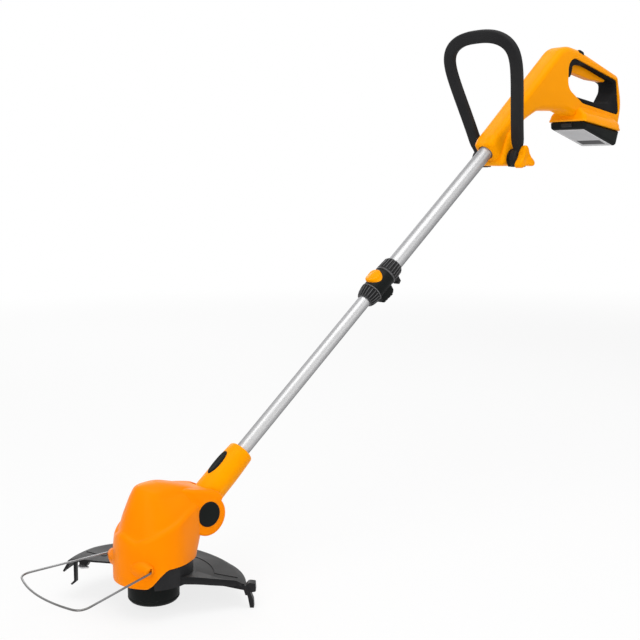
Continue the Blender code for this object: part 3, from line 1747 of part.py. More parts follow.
def make_guard():
    top = REAR_BOTTOM - SEAT_GAP
    rim = GUARD_RIM_HEIGHT
    root = GUARD_ROOT_HEIGHT
    wall = GUARD_WALL
    foot_r = GUARD_R + GUARD_SKIRT_FLARE
    leg_r = GUARD_R + END_LEG_R
    middle_r = (GUARD_COLLAR_R + GUARD_R) / 2
    dish = [
        (GUARD_COLLAR_R - 0.0060, root),
        (GUARD_COLLAR_R + 0.0020, root),
        (middle_r, rim + 0.0035),
        (GUARD_R - 0.0100, rim + 0.0015),
        (GUARD_R, rim - 0.0015),
        (foot_r, rim - GUARD_SKIRT),
        (foot_r - wall, rim - GUARD_SKIRT),
        (GUARD_R - wall * 1.3, rim - wall * 1.8),
        (GUARD_R - 0.0110, rim + 0.0015 - wall),
        (middle_r, rim + 0.0035 - wall),
        (GUARD_COLLAR_R + 0.0020, root - wall),
        (GUARD_COLLAR_R - 0.0060, root - wall),
    ]
    collar = [
        (GUARD_INNER_R, top),
        (GUARD_COLLAR_R, top),
        (GUARD_COLLAR_R, COLLAR_BOTTOM),
        (GUARD_INNER_R, COLLAR_BOTTOM),
    ]
    rib = [
        (GUARD_COLLAR_R + 0.0015, root - 0.0010),
        (middle_r, rim + 0.0030),
        (GUARD_R - 0.0060, rim),
        (GUARD_R - 0.0020, rim - 0.0080),
        (middle_r, rim - 0.0065),
        (GUARD_COLLAR_R + 0.0015, COLLAR_BOTTOM + 0.0010),
    ]
    leg = [
        (GUARD_R - wall * 0.6, rim - 0.0060),
        (GUARD_R + 0.0010, rim - 0.0060),
        (leg_r + 0.0010, rim - GUARD_SKIRT),
        (leg_r + 0.0048, rim - GUARD_SKIRT - END_LEG),
        (leg_r, rim - GUARD_SKIRT - END_LEG),
        (leg_r - 0.0040, rim - GUARD_SKIRT),
    ]
    far_leg = [
        (GUARD_R - 0.0130, rim),
        (GUARD_R - 0.0090, rim - 0.0010),
        (GUARD_R - 0.0090, rim - 0.0310),
        (GUARD_R - 0.0035, rim - 0.0365),
        (GUARD_R - 0.0058, rim - 0.0380),
        (GUARD_R - 0.0125, rim - 0.0325),
    ]
    far_toe = [
        (GUARD_R - 0.0010, rim - 0.0060),
        (GUARD_R + 0.0014, rim - 0.0070),
        (GUARD_R + 0.0080, rim - 0.0180),
        (GUARD_R + 0.0055, rim - 0.0195),
    ]
    cutter_block = [
        (GUARD_R - 0.0330, rim + 0.0016),
        (GUARD_R - 0.0180, rim + 0.0008),
        (GUARD_R - 0.0180, rim - 0.0088),
        (GUARD_R - 0.0270, rim - 0.0092),
    ]
    bumper = [
        (GUARD_R - 0.0010, rim - 0.0010),
        (GUARD_R + 0.0020, rim + 0.0045),
        (GUARD_R + 0.0140, rim + 0.0055),
        (GUARD_R + 0.0150, rim - 0.0055),
        (GUARD_R + 0.0030, rim - 0.0080),
        (GUARD_R - 0.0005, rim - 0.0060),
    ]
    pin_origin = (PIVOT_BACK, 0, PIVOT_HEIGHT)
    rings = guard_rings(dish, GUARD_START, GUARD_END, 24)
    guard = loft("guard", rings, black_plastic, head_frame, pin_origin)
    thin = math.radians(2.2)
    inside = 0.0005
    for name, profile, start, end, count in (
        ("guard_collar", collar, -COLLAR_REACH, COLLAR_REACH, 20),
        ("near_rib", rib, GUARD_START + inside, GUARD_START + thin, 1),
        ("near_leg", leg, GUARD_START + inside, GUARD_START + math.radians(5), 2),
        ("far_leg", far_leg, GUARD_END - math.radians(3), GUARD_END - inside, 2),
        ("far_toe", far_toe, GUARD_END - math.radians(3), GUARD_END - inside, 2),
        ("cutter_block", cutter_block, GUARD_END - math.radians(6), GUARD_END - inside * 2, 2),
        ("near_bumper", bumper, GUARD_START + inside * 2, GUARD_START + math.radians(5.5), 2),
    ):
        fuse(guard, loft(name, guard_rings(profile, start, end, count), black_plastic, head_frame))
    fuse(guard, *make_guard_web(root))
    front_form = turned(
        "front_form",
        [(SKIRT_R + 0.0008, SKIRT_BOTTOM - 0.008), (SKIRT_R + 0.0008, REAR_BOTTOM + 0.010)],
        black_plastic,
        head_frame,
        segments=28,
    )
    cut(front_form, make_step("guard_step", -0.0008))
    cut(guard, front_form)
    return guard


def make_guard_web(root):
    """Ribbed web along the guard's near edge, from the collar's flank out to the near tip."""
    foot = Vector((WEB_FOOT_X, WEB_FOOT_Y))
    tip = Vector((math.cos(WEB_TIP_ANGLE), math.sin(WEB_TIP_ANGLE))) * (GUARD_R - WEB_TIP_INSET)
    foot_angle = GUARD_START + 0.05
    tip_angle = GUARD_START + 0.02
    inner_foot = Vector((math.cos(foot_angle), math.sin(foot_angle))) * (GUARD_COLLAR_R - 0.004)
    inner_tip = Vector((math.cos(tip_angle), math.sin(tip_angle))) * (GUARD_R - 0.0060)
    aside = Vector((tip.y - foot.y, foot.x - tip.x)).normalized() * -0.0026
    web = []
    rib = []
    for k in range(6):
        t = k / 5
        outer = foot.lerp(tip, t)
        inner = inner_foot.lerp(inner_tip, t)
        edge = outer + aside
        z_outer = guard_height(outer.x, outer.y, root + (GUARD_RIM_HEIGHT - root) * t)
        z_inner = guard_height(inner.x, inner.y, root + (GUARD_RIM_HEIGHT - root) * t - 0.0008)
        wall = GUARD_WALL * 0.9
        web.append(
            [
                Vector((outer.x, outer.y, z_outer)),
                Vector((inner.x, inner.y, z_inner)),
                Vector((inner.x, inner.y, z_inner - wall)),
                Vector((outer.x, outer.y, z_outer - wall)),
            ]
        )
        drop = WEB_RIB_ROOT + (WEB_RIB_TIP - WEB_RIB_ROOT) * t
        rib.append(
            [
                Vector((outer.x, outer.y, z_outer - 0.0003)),
                Vector((edge.x, edge.y, z_outer - 0.0003)),
                Vector((edge.x, edge.y, z_outer - drop)),
                Vector((outer.x, outer.y, z_outer - drop)),
            ]
        )
    return loft("web_form", web, black_plastic, head_frame), loft("web_rib", rib, black_plastic, head_frame)


def make_line_cutter():
    """Steel blade that stands out from the guard's forward end, near the rim."""
    rest = Vector((math.cos(GUARD_END), math.sin(GUARD_END)))
    ahead = Vector((-rest.y, rest.x))
    blade = [(-0.033, 0.0), (-0.018, 0.0), (-0.019, 0.0070), (-0.025, 0.0090), (-0.033, 0.0030)]
    rings = []
    for lower in (0.0, CUTTER_THICK):
        ring = []
        for radius, along in blade:
            point = rest * (GUARD_R + radius) + ahead * (along + SEAT_GAP)
            height = guard_height(point.x, point.y, GUARD_RIM_HEIGHT - 0.0060 - lower)
            ring.append(Vector((point.x, point.y, height)))
        rings.append(ring)
    return loft("line_cutter", rings, steel, head_frame, (PIVOT_BACK, 0, PIVOT_HEIGHT))


def wire_path():
    """Centre line of the folding wire, from the left pivot round the front to the right."""
    pivot_point = Vector((WIRE_PIVOT_X, -WIRE_PIVOT_HALF, WIRE_PIVOT_Z))
    corner = Vector((WIRE_FRONT_X, -WIRE_FRONT_HALF, WIRE_FRONT_Z))
    arm = (corner - pivot_point).normalized()
    half = []
    half.append(Vector((WIRE_PIVOT_X, -WIRE_PIVOT_HALF + 0.0080, WIRE_PIVOT_Z)))
    half.append(Vector((WIRE_PIVOT_X, -WIRE_PIVOT_HALF + 0.0012, WIRE_PIVOT_Z)))
    half.append(pivot_point + arm * 0.0016)
    half.append(pivot_point + arm * 0.0060)
    half.append(pivot_point + (corner - pivot_point) * 0.5)
    bar_end = Vector((WIRE_FRONT_X - WIRE_BOW * 0.25, -WIRE_FRONT_HALF * 0.86, WIRE_FRONT_Z))
    entry = corner - arm * WIRE_CORNER_R
    leave = corner + (bar_end - corner).normalized() * WIRE_CORNER_R
    for k in range(6):
        t = k / 5
        half.append(entry * (1 - t) ** 2 + corner * 2 * t * (1 - t) + leave * t**2)
    first = (leave.y / WIRE_FRONT_HALF) * 0.96
    for k in range(1, 6):
        v = first * (1 - k / 5)
        x = WIRE_FRONT_X - WIRE_BOW * (1 - v * v)
        half.append(Vector((x, v * WIRE_FRONT_HALF, WIRE_FRONT_Z)))
    other = [Vector((p.x, -p.y, p.z)) for p in reversed(half[:-1])]
    return half + other


def make_wire_guard():
    section = circle(WIRE_R, 8)
    return sweep(
        "wire_guard",
        wire_path(),
        section,
        steel,
        head_frame,
        (WIRE_PIVOT_X, 0, WIRE_PIVOT_Z),
        side=Vector((0.10, 0.0, 1.0)).normalized(),
    )


def build():
    for name, place in handle_screws():
        screw(name, place, 1, handle_frame)
    for name, place in head_screws():
        screw(name, place, 1, head_frame)
    make_terminals()
    make_handle()
    make_soft_grip()
    make_trigger()
    make_lock_off("lock_off_button")
    make_switch("trigger_switch")
    make_battery()
    make_loop_handle()
    make_clamp()
    tube_end = make_coupling()
    tube("upper_tube", UPPER_TUBE_R, UPPER_TUBE_WALL, -SOCKET_DEPTH, tube_end, aluminium)
    lower_start = coupling_top - LOWER_TUBE_OVERLAP
    tube("lower_tube", LOWER_TUBE_R, LOWER_TUBE_WALL, lower_start, neck_top + NECK_SOCKET_DEPTH, aluminium)
    make_neck()
    make_housing()
    make_hub()
    make_motor_and_spool()
    make_guard()
    make_line_cutter()
    make_wire_guard()


build()
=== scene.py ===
# Looks of the cordless string trimmer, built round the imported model.
# Metres, the rear grip at the origin, the head towards -X, the user's left towards -Y.
import math

import bmesh
import bpy
from mathutils import Matrix, Vector


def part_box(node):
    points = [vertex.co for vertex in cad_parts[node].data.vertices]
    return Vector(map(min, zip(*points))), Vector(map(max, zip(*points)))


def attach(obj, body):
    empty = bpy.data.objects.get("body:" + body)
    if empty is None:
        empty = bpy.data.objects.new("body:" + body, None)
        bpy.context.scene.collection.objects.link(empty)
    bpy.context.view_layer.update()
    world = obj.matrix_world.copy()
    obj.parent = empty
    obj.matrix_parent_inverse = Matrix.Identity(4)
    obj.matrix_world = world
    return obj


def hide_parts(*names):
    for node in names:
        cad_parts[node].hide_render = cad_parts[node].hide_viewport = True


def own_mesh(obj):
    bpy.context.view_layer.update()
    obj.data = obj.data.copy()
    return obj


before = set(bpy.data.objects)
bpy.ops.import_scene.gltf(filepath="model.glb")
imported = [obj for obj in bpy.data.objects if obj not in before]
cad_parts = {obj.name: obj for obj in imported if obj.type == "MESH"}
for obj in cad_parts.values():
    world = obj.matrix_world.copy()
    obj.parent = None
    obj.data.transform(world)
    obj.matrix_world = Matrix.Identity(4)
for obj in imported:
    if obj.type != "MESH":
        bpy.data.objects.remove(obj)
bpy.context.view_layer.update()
print("frame loaded with", len(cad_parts), "nodes")

# Camera, light and floor

studio = {
    "cameraPlace": (-1.7848, -1.2368, -0.2079),
    "cameraTurn": -41.176,
    "cameraRise": 7.621,
    "lens": 59.77,
    "floorHeight": -0.8096,
    "floorSize": 60.0,
    "floorColour": (0.86, 0.86, 0.86, 1.0),
    "floorWhite": 0.8,
    "floorFade": (1.6, 4.0),
    "worldLight": 0.5,
}

turn = math.radians(studio["cameraTurn"])
rise = math.radians(studio["cameraRise"])
backwards = Vector((math.sin(turn) * math.cos(rise), -math.cos(turn) * math.cos(rise), math.sin(rise)))
cameraData = bpy.data.cameras.new("photoCamera")
cameraData.lens = studio["lens"]
cameraData.sensor_width = 36.0
cameraData.clip_end = 200.0
camera = bpy.data.objects.new("photoCamera", cameraData)
camera.location = studio["cameraPlace"]
camera.rotation_euler = (-backwards).to_track_quat("-Z", "Y").to_euler()
bpy.context.scene.collection.objects.link(camera)
bpy.context.scene.camera = camera
bpy.context.scene.view_settings.view_transform = "Standard"

lampAim = (-0.5, 0.0, -0.4)
lamps = {
    "overheadPanel": {"place": (-0.9, -0.6, 2.2), "size": (2.6, 1.8), "power": 44},
    "leftPanel": {"place": (-2.9, -1.4, 0.5), "size": (1.4, 2.4), "power": 27},
    "rightPanel": {"place": (0.6, -2.9, 0.4), "size": (1.2, 2.2), "power": 7},
    "rearPanel": {"place": (0.3, 2.6, 0.9), "size": (1.8, 1.6), "power": 16},
}
for name, panel in lamps.items():
    lamp = bpy.data.lights.new(name, "AREA")
    lamp.shape = "RECTANGLE"
    lamp.size, lamp.size_y = panel["size"]
    lamp.energy = panel["power"]
    holder = bpy.data.objects.new(name, lamp)
    holder.location = panel["place"]
    holder.rotation_euler = (Vector(lampAim) - Vector(panel["place"])).to_track_quat("-Z", "Y").to_euler()
    bpy.context.scene.collection.objects.link(holder)

world = bpy.data.worlds.new("studioWorld")
bpy.context.scene.world = world

# Node helpers


def feed(tree, socket, value):
    # Links another node's output, or sets a plain value
    if isinstance(value, bpy.types.NodeSocket):
        tree.links.new(value, socket)
    else:
        socket.default_value = value


def node(tree, kind, settings=None, **inputs):
    made = tree.nodes.new(kind)
    for key, value in (settings or {}).items():
        setattr(made, key, value)
    for key, value in inputs.items():
        feed(tree, made.inputs[key.replace("_", " ")], value)
    return made


def maths(tree, operation, first, second):
    made = node(tree, "ShaderNodeMath", {"operation": operation})
    for socket, value in zip(made.inputs, (first, second)):
        feed(tree, socket, value)
    return made.outputs[0]


def mixColour(tree, share, first, second):
    made = node(tree, "ShaderNodeMix", {"data_type": "RGBA"})
    for index, value in ((0, share), (6, first), (7, second)):
        feed(tree, made.inputs[index], value)
    return made.outputs[2]


def mixShaders(tree, share, first, second):
    made = node(tree, "ShaderNodeMixShader", Fac=share)
    feed(tree, made.inputs[1], first.outputs[0])
    feed(tree, made.inputs[2], second.outputs[0])
    return made.outputs[0]


def seenDirectly(tree, *others):
    # 1 for rays from the camera and from reflections, and for the others named
    rays = node(tree, "ShaderNodeLightPath").outputs
    seen = maths(tree, "MAXIMUM", rays["Is Camera Ray"], rays["Is Glossy Ray"])
    for other in others:
        seen = maths(tree, "MAXIMUM", seen, rays[other])
    return seen


def objectPlace(tree):
    return node(tree, "ShaderNodeTexCoord").outputs["Object"]


def emptyTree(owner):
    owner.use_nodes = True
    owner.node_tree.nodes.clear()
    return owner.node_tree


# White for the camera and for reflections, plain light for everything else
tree = emptyTree(world)
plainWhite = (1, 1, 1, 1)
plainLight = node(tree, "ShaderNodeBackground", Color=plainWhite, Strength=studio["worldLight"])
whiteLight = node(tree, "ShaderNodeBackground", Color=plainWhite, Strength=1.0)
backdrop = mixShaders(tree, seenDirectly(tree, "Is Transmission Ray"), plainLight, whiteLight)
node(tree, "ShaderNodeOutputWorld", Surface=backdrop)

# The floor turns plain white with distance, and shows the shadow close by
floorMaterial = bpy.data.materials.new("paleFloor")
tree = emptyTree(floorMaterial)
matt = node(tree, "ShaderNodeBsdfDiffuse", Color=studio["floorColour"])
glow = node(tree, "ShaderNodeEmission", Color=plainWhite, Strength=1.0)
away = node(tree, "ShaderNodeVectorMath", {"operation": "LENGTH"})
feed(tree, away.inputs[0], objectPlace(tree))
fadeStart, fadeEnd = studio["floorFade"]
fade = node(
    tree, "ShaderNodeMapRange", {"interpolation_type": "SMOOTHSTEP"}, Value=away.outputs["Value"],
    From_Min=fadeStart, From_Max=fadeEnd, To_Min=studio["floorWhite"], To_Max=1.0,
)
share = maths(tree, "MULTIPLY", seenDirectly(tree), fade.outputs[0])
node(tree, "ShaderNodeOutputMaterial", Surface=mixShaders(tree, share, matt, glow))

floorHalf = studio["floorSize"] / 2
floorMesh = bpy.data.meshes.new("floor")
floorCorners = [(x * floorHalf, y * floorHalf, 0) for x, y in ((-1, -1), (1, -1), (1, 1), (-1, 1))]
floorMesh.from_pydata(floorCorners, [], [(0, 1, 2, 3)])
floorMesh.materials.append(floorMaterial)
floor = bpy.data.objects.new("floor", floorMesh)
floor.location = (0, 0, studio["floorHeight"])
bpy.context.scene.collection.objects.link(floor)
print("camera, light and floor made")

# Shared shader effects

shaftPitch = math.radians(39.44)  # how steeply the shaft falls
dustColour = (0.42, 0.38, 0.33, 1)


def newGroup(name, inputs, outputs):
    group = bpy.data.node_groups.new(name, "ShaderNodeTree")
    for socketName, value in inputs.items():
        socket = group.interface.new_socket(socketName, in_out="INPUT", socket_type="NodeSocketFloat")
        socket.default_value = value
    for socketName in outputs:
        group.interface.new_socket(socketName, in_out="OUTPUT", socket_type="NodeSocketFloat")
    given = group.nodes.new("NodeGroupInput").outputs
    return group, given, group.nodes.new("NodeGroupOutput").inputs


def noise(tree, place, size, detail, roughness=0.5):
    kind = "ShaderNodeTexNoise"
    return node(tree, kind, Vector=place, Scale=size, Detail=detail, Roughness=roughness).outputs["Fac"]


def makeGrainGroup():
    # Fine spark-eroded grain of a mould, with broad soft patches
    group, given, result = newGroup("mouldGrain", {"Size": 900.0, "Patch": 14.0}, ["Height", "Patches"])
    place = objectPlace(group)
    feed(group, result["Height"], noise(group, place, given["Size"], 3.0, 0.6))
    feed(group, result["Patches"], noise(group, place, given["Patch"], 2.0))
    return group


def makeWearAndHighlightGroup():
    # Edges made pale, broken up by noise: rubbed by handling, and on the ribbed plastic also a painted
    # highlight on the rib crests
    given = {"Start": 0.53, "Spread": 0.06, "Breakup": 60.0}
    group, given, result = newGroup("edgeWearAndHighlight", given, ["Mask"])
    sharpness = node(group, "ShaderNodeNewGeometry").outputs["Pointiness"]
    edge = maths(group, "DIVIDE", maths(group, "SUBTRACT", sharpness, given["Start"]), given["Spread"])
    broken = maths(group, "MULTIPLY", edge, noise(group, objectPlace(group), given["Breakup"], 4.0, 0.65))
    feed(group, result["Mask"], node(group, "ShaderNodeClamp", Value=broken).outputs[0])
    return group


def makeDustGroup():
    # Thin dust that settles on faces turned upwards
    group, given, result = newGroup("settledDust", {"Amount": 0.1, "Size": 35.0}, ["Mask"])
    normal = node(group, "ShaderNodeNewGeometry").outputs["Normal"]
    parts = node(group, "ShaderNodeSeparateXYZ", Vector=normal)
    up = maths(group, "POWER", maths(group, "MAXIMUM", parts.outputs["Z"], 0.0), 2.0)
    patchy = maths(group, "MULTIPLY", up, noise(group, objectPlace(group), given["Size"], 5.0, 0.7))
    feed(group, result["Mask"], maths(group, "MULTIPLY", patchy, given["Amount"]))
    return group


def makeBrushGroup():
    # Drawing lines that run down the tubes
    given = {"Fineness": 1400.0, "Stretch": 0.012}
    group, given, result = newGroup("drawnLines", given, ["Lines", "Stains"])
    place = objectPlace(group)
    turn = (0.0, shaftPitch, 0.0)
    turned = node(group, "ShaderNodeMapping", {"vector_type": "POINT"}, Vector=place, Rotation=turn)
    parts = node(group, "ShaderNodeSeparateXYZ", Vector=turned.outputs[0]).outputs
    along = maths(group, "MULTIPLY", parts["X"], given["Stretch"])
    packed = node(group, "ShaderNodeCombineXYZ", X=along, Y=parts["Y"], Z=parts["Z"])
    feed(group, result["Lines"], noise(group, packed.outputs[0], given["Fineness"], 2.0))
    feed(group, result["Stains"], noise(group, place, 22.0, 4.0))
    return group


grainGroup = makeGrainGroup()
wearAndHighlightGroup = makeWearAndHighlightGroup()
dustGroup = makeDustGroup()
brushGroup = makeBrushGroup()


def useGroup(tree, group, **values):
    made = tree.nodes.new("ShaderNodeGroup")
    made.node_tree = group
    for key, value in values.items():
        made.inputs[key].default_value = value
    return made.outputs


def scaled(tree, value, low, high):
    # The middle of a noise spread over a range
    spread = {"From_Min": 0.3, "From_Max": 0.7, "To_Min": low, "To_Max": high}
    return node(tree, "ShaderNodeMapRange", Value=value, **spread).outputs[0]


def newMaterial(name):
    material = bpy.data.materials.new(name)
    material.use_nodes = True
    tree = material.node_tree
    return material, tree, tree.nodes["Principled BSDF"]


def addBump(tree, shader, strength, distance, height):
    bump = node(tree, "ShaderNodeBump", Strength=strength, Distance=distance, Height=height)
    feed(tree, shader.inputs["Normal"], bump.outputs[0])


# Plastics and rubbers: colour, its darker patches, worn edges (on the ribbed plastic also a painted highlight
# on the rib crests), roughness range, size and depth of the grain, dust, specular level, and for some the
# specular tint and the sharpness where wear and that painted highlight start
plasticFinishes = {
    "handleOrange": {
        "colour": (1.0, 0.352, 0.0, 1), "patch": (0.96, 0.325, 0.0, 1), "wornAndHighlight": (1.0, 0.46, 0.03, 1),
        "rough": (0.3, 0.42), "grain": 1100.0, "depth": 0.08, "dust": 0.02, "specular": 0.07,
        "tint": (1.0, 0.62, 0.22, 1),
    },
    "headOrange": {
        "colour": (1.0, 0.262, 0.0, 1), "patch": (0.96, 0.238, 0.0, 1), "wornAndHighlight": (1.0, 0.4, 0.03, 1),
        "rough": (0.28, 0.4), "grain": 1100.0, "depth": 0.08, "dust": 0.02, "specular": 0.08,
        "tint": (1.0, 0.62, 0.22, 1),
    },
    "blackPlastic": {
        "colour": (0.009, 0.011, 0.01, 1), "patch": (0.006, 0.007, 0.007, 1), "wornAndHighlight": (0.06, 0.06, 0.062, 1),
        "rough": (0.42, 0.55), "grain": 800.0, "depth": 0.16, "dust": 0.03, "specular": 0.07,
    },
    # On the ribbed plastic the pale edge colour, starting at a lower sharpness, paints a highlight on the rib
    # crests besides their wear
    "ribbedPlastic": {
        "colour": (0.011, 0.011, 0.012, 1), "patch": (0.008, 0.008, 0.009, 1), "wornAndHighlight": (0.2, 0.2, 0.205, 1),
        "rough": (0.4, 0.52), "grain": 800.0, "depth": 0.1, "dust": 0.02, "specular": 0.2, "wearAndHighlightStart": 0.515,
    },
    "guardPlastic": {
        "colour": (0.011, 0.011, 0.012, 1), "patch": (0.008, 0.008, 0.009, 1),
        "wornAndHighlight": (0.022, 0.022, 0.023, 1),
        "rough": (0.36, 0.48), "grain": 520.0, "depth": 0.2, "dust": 0.02, "specular": 0.13,
    },
    "gripRubber": {
        "colour": (0.009, 0.009, 0.01, 1), "patch": (0.006, 0.006, 0.007, 1), "wornAndHighlight": (0.03, 0.03, 0.032, 1),
        "rough": (0.62, 0.78), "grain": 650.0, "depth": 0.3, "dust": 0.03, "specular": 0.08,
    },
    "loopRubber": {
        "colour": (0.02, 0.02, 0.021, 1), "patch": (0.015, 0.015, 0.016, 1), "wornAndHighlight": (0.05, 0.05, 0.052, 1),
        "rough": (0.48, 0.62), "grain": 720.0, "depth": 0.22, "dust": 0.02, "specular": 0.09,
    },
    "lineNylon": {
        "colour": (0.3, 0.31, 0.33, 1), "patch": (0.24, 0.25, 0.27, 1), "wornAndHighlight": (0.45, 0.45, 0.47, 1),
        "rough": (0.35, 0.5), "grain": 400.0, "depth": 0.25, "dust": 0.0, "specular": 0.5,
    },
    "labelFoil": {
        "colour": (0.48, 0.49, 0.5, 1), "patch": (0.44, 0.45, 0.46, 1), "wornAndHighlight": (0.6, 0.6, 0.61, 1),
        "rough": (0.32, 0.45), "grain": 900.0, "depth": 0.06, "dust": 0.03, "specular": 0.3,
    },
    "labelPrint": {
        "colour": (0.24, 0.245, 0.25, 1), "patch": (0.19, 0.195, 0.2, 1), "wornAndHighlight": (0.4, 0.4, 0.41, 1),
        "rough": (0.3, 0.42), "grain": 600.0, "depth": 0.04, "dust": 0.0, "specular": 0.3,
    },
}


def makePlastic(name, finish):
    material, tree, shader = newMaterial(name)
    grain = useGroup(tree, grainGroup, Size=finish["grain"])
    edgeMask = useGroup(tree, wearAndHighlightGroup, Start=finish.get("wearAndHighlightStart", 0.53))
    dust = useGroup(tree, dustGroup, Amount=finish["dust"])
    colour = mixColour(tree, scaled(tree, grain["Patches"], 0.0, 1.0), finish["colour"], finish["patch"])
    # Pale edges: real wear, and on the ribbed plastic a painted highlight on the rib crests
    colour = mixColour(tree, edgeMask["Mask"], colour, finish["wornAndHighlight"])
    colour = mixColour(tree, dust["Mask"], colour, dustColour)
    dusty = maths(tree, "MULTIPLY", dust["Mask"], 0.4)
    rough = maths(tree, "ADD", scaled(tree, grain["Patches"], *finish["rough"]), dusty)
    feed(tree, shader.inputs["Base Color"], colour)
    feed(tree, shader.inputs["Roughness"], rough)
    shader.inputs["Specular IOR Level"].default_value = finish["specular"]
    shader.inputs["Specular Tint"].default_value = finish.get("tint", plainWhite)
    addBump(tree, shader, finish["depth"], 0.0004, grain["Height"])
    return material


# Metals: colour, stained colour, roughness range, and the depth, fineness and stretch of drawn lines; the
# tube's edge colour is painted shade towards its edges
metalFinishes = {
    "aluminiumTube": {
        "colour": (0.56, 0.56, 0.56, 1), "stain": (0.52, 0.52, 0.525, 1), "rough": (0.3, 0.36),
        "metallic": 0.4, "depth": 0.004, "fineness": 500.0, "stretch": 0.01, "edge": (0.16, 0.16, 0.17, 1),
    },
    "steelWire": {
        "colour": (0.24, 0.24, 0.245, 1), "stain": (0.15, 0.145, 0.14, 1), "rough": (0.22, 0.36),
        "metallic": 1.0, "depth": 0.05, "fineness": 900.0, "stretch": 0.08,
    },
    "steelFastener": {
        "colour": (0.55, 0.55, 0.56, 1), "stain": (0.4, 0.4, 0.4, 1), "rough": (0.28, 0.42),
        "metallic": 1.0, "depth": 0.1, "fineness": 2200.0, "stretch": 1.0,
    },
    "copperWinding": {
        "colour": (0.72, 0.38, 0.2, 1), "stain": (0.52, 0.25, 0.12, 1), "rough": (0.3, 0.45),
        "metallic": 1.0, "depth": 0.25, "fineness": 1800.0, "stretch": 0.05,
    },
}


def makeMetal(name, finish):
    material, tree, shader = newMaterial(name)
    lines = useGroup(tree, brushGroup, Fineness=finish["fineness"], Stretch=finish["stretch"])
    edgeMask = useGroup(tree, wearAndHighlightGroup, Breakup=120.0)
    colour = mixColour(tree, scaled(tree, lines["Stains"], 0.0, 1.0), finish["colour"], finish["stain"])
    pale = [min(1.0, value * 1.15) for value in finish["colour"][:3]]
    colour = mixColour(tree, edgeMask["Mask"], colour, (*pale, 1))
    if "edge" in finish:
        # Painted shade: the colour darkens towards the tube's edges as seen, and the same dark colour tints
        # its reflections
        facing = node(tree, "ShaderNodeLayerWeight", Blend=0.55).outputs["Facing"]
        colour = mixColour(tree, facing, colour, finish["edge"])
        shader.inputs["Specular Tint"].default_value = finish["edge"]
    feed(tree, shader.inputs["Base Color"], colour)
    feed(tree, shader.inputs["Roughness"], scaled(tree, lines["Lines"], *finish["rough"]))
    shader.inputs["Metallic"].default_value = finish["metallic"]
    addBump(tree, shader, finish["depth"], 0.0003, lines["Lines"])
    return material


materials = {name: makePlastic(name, finish) for name, finish in plasticFinishes.items()}
materials.update({name: makeMetal(name, finish) for name, finish in metalFinishes.items()})
print("materials made:", len(materials))

# Frames of the shaft and the head. Down the shaft is the first axis of its frame.

shaftSocket = Vector((-0.3142, 0, -0.1635))
shaftDown = Vector((-math.cos(shaftPitch), 0, -math.sin(shaftPitch)))
shaftUp = Vector((-math.sin(shaftPitch), 0, math.cos(shaftPitch)))
shaftFrame = Matrix((shaftDown, (0, -1, 0), shaftUp)).transposed().to_4x4()
shaftFrame.translation = shaftSocket
couplingTop = 0.2935
couplingEnd = couplingTop + 0.0865
neckTop = couplingEnd + 0.324
pivotAt = neckTop + 0.1108
pivotBack, pivotHeight = 0.0715, 0.119
hubCentre = (pivotBack, 0, pivotHeight)
headFrame = Matrix.Translation(shaftSocket + shaftDown * pivotAt - Vector(hubCentre))
handleFrame = Matrix.Identity(4)
seam = 0.00015  # half the gap between two half shells
fit = 0.0003  # play between pieces that sit on one another

# Mesh helpers


def ringMesh(name, rings, place=handleFrame, closed=False, crease=()):
    bm = bmesh.new()
    rows = [[bm.verts.new(place @ Vector(point)) for point in ring] for ring in rings]
    pairs = list(zip(rows, rows[1:]))
    if closed:
        pairs.append((rows[-1], rows[0]))
    for low, high in pairs:
        for i in range(len(low)):
            j = (i + 1) % len(low)
            bm.faces.new((low[i], low[j], high[j], high[i]))
    if not closed:
        bm.faces.new(rows[0])
        bm.faces.new(list(reversed(rows[-1])))
    if crease:
        layer = bm.edges.layers.float.new("crease_edge")
        for k in crease:
            row = rows[k]
            for i, vert in enumerate(row):
                bm.edges.get((vert, row[(i + 1) % len(row)]))[layer] = 1.0
    bmesh.ops.recalc_face_normals(bm, faces=bm.faces)
    mesh = bpy.data.meshes.new(name)
    bm.to_mesh(mesh)
    bm.free()
    piece = bpy.data.objects.new(name, mesh)
    bpy.context.scene.collection.objects.link(piece)
    return piece


def turnAngles(count):
    return [2 * math.pi * i / count for i in range(count)]


def heading(angle):
    return Vector((math.cos(angle), math.sin(angle)))


def bend(first, corner, last, t):
    # A point of the curve that rounds a corner
    return first * (1 - t) ** 2 + corner * 2 * t * (1 - t) + last * t**2


def ringPoint(axis, radius, angle, height):
    c, s = radius * math.cos(angle), radius * math.sin(angle)
    return {"Z": Vector((c, s, height)), "Y": Vector((s, height, c)), "X": Vector((height, c, s))}[axis]


def turnedPiece(name, profile, place=handleFrame, centre=(0, 0, 0), axis="Z", count=96, hollow=False):
    # A hollow profile closes on itself, a plain one ends flat across the axis
    centre = Vector(centre)
    angles = turnAngles(count)
    if hollow:
        rings = [[centre + ringPoint(axis, r, a, h) for r, h in profile] for a in angles]
    else:
        rings = [[centre + ringPoint(axis, r, a, h) for a in angles] for r, h in profile]
    return ringMesh(name, rings, place, closed=hollow)


def rodPiece(name, radius, low, high, place=handleFrame, centre=(0, 0, 0), axis="Y", count=96):
    return turnedPiece(name, [(radius, low), (radius, high)], place, centre, axis, count)


def cornerSides(corners, i):
    # A corner, and the ways from it to the ones before and after it
    here = Vector(corners[i][:2])
    before = Vector(corners[i - 1][:2]) - here
    return here, before, Vector(corners[(i + 1) % len(corners)][:2]) - here


def softCorners(profile, closed=False, steps=4):
    # Rounds the (radius, height, rounding) corners of a turned profile
    points = []
    for i, corner in enumerate(profile):
        here, before, after = cornerSides(profile, i)
        rounding = corner[2] if len(corner) > 2 else 0.0
        if rounding <= 0 or (not closed and i in (0, len(profile) - 1)):
            points.append(tuple(here))
            continue
        reach = min(rounding, before.length * 0.45, after.length * 0.45)
        start, end = here + before.normalized() * reach, here + after.normalized() * reach
        points += [tuple(bend(start, here, end, k / steps)) for k in range(steps + 1)]
    return points


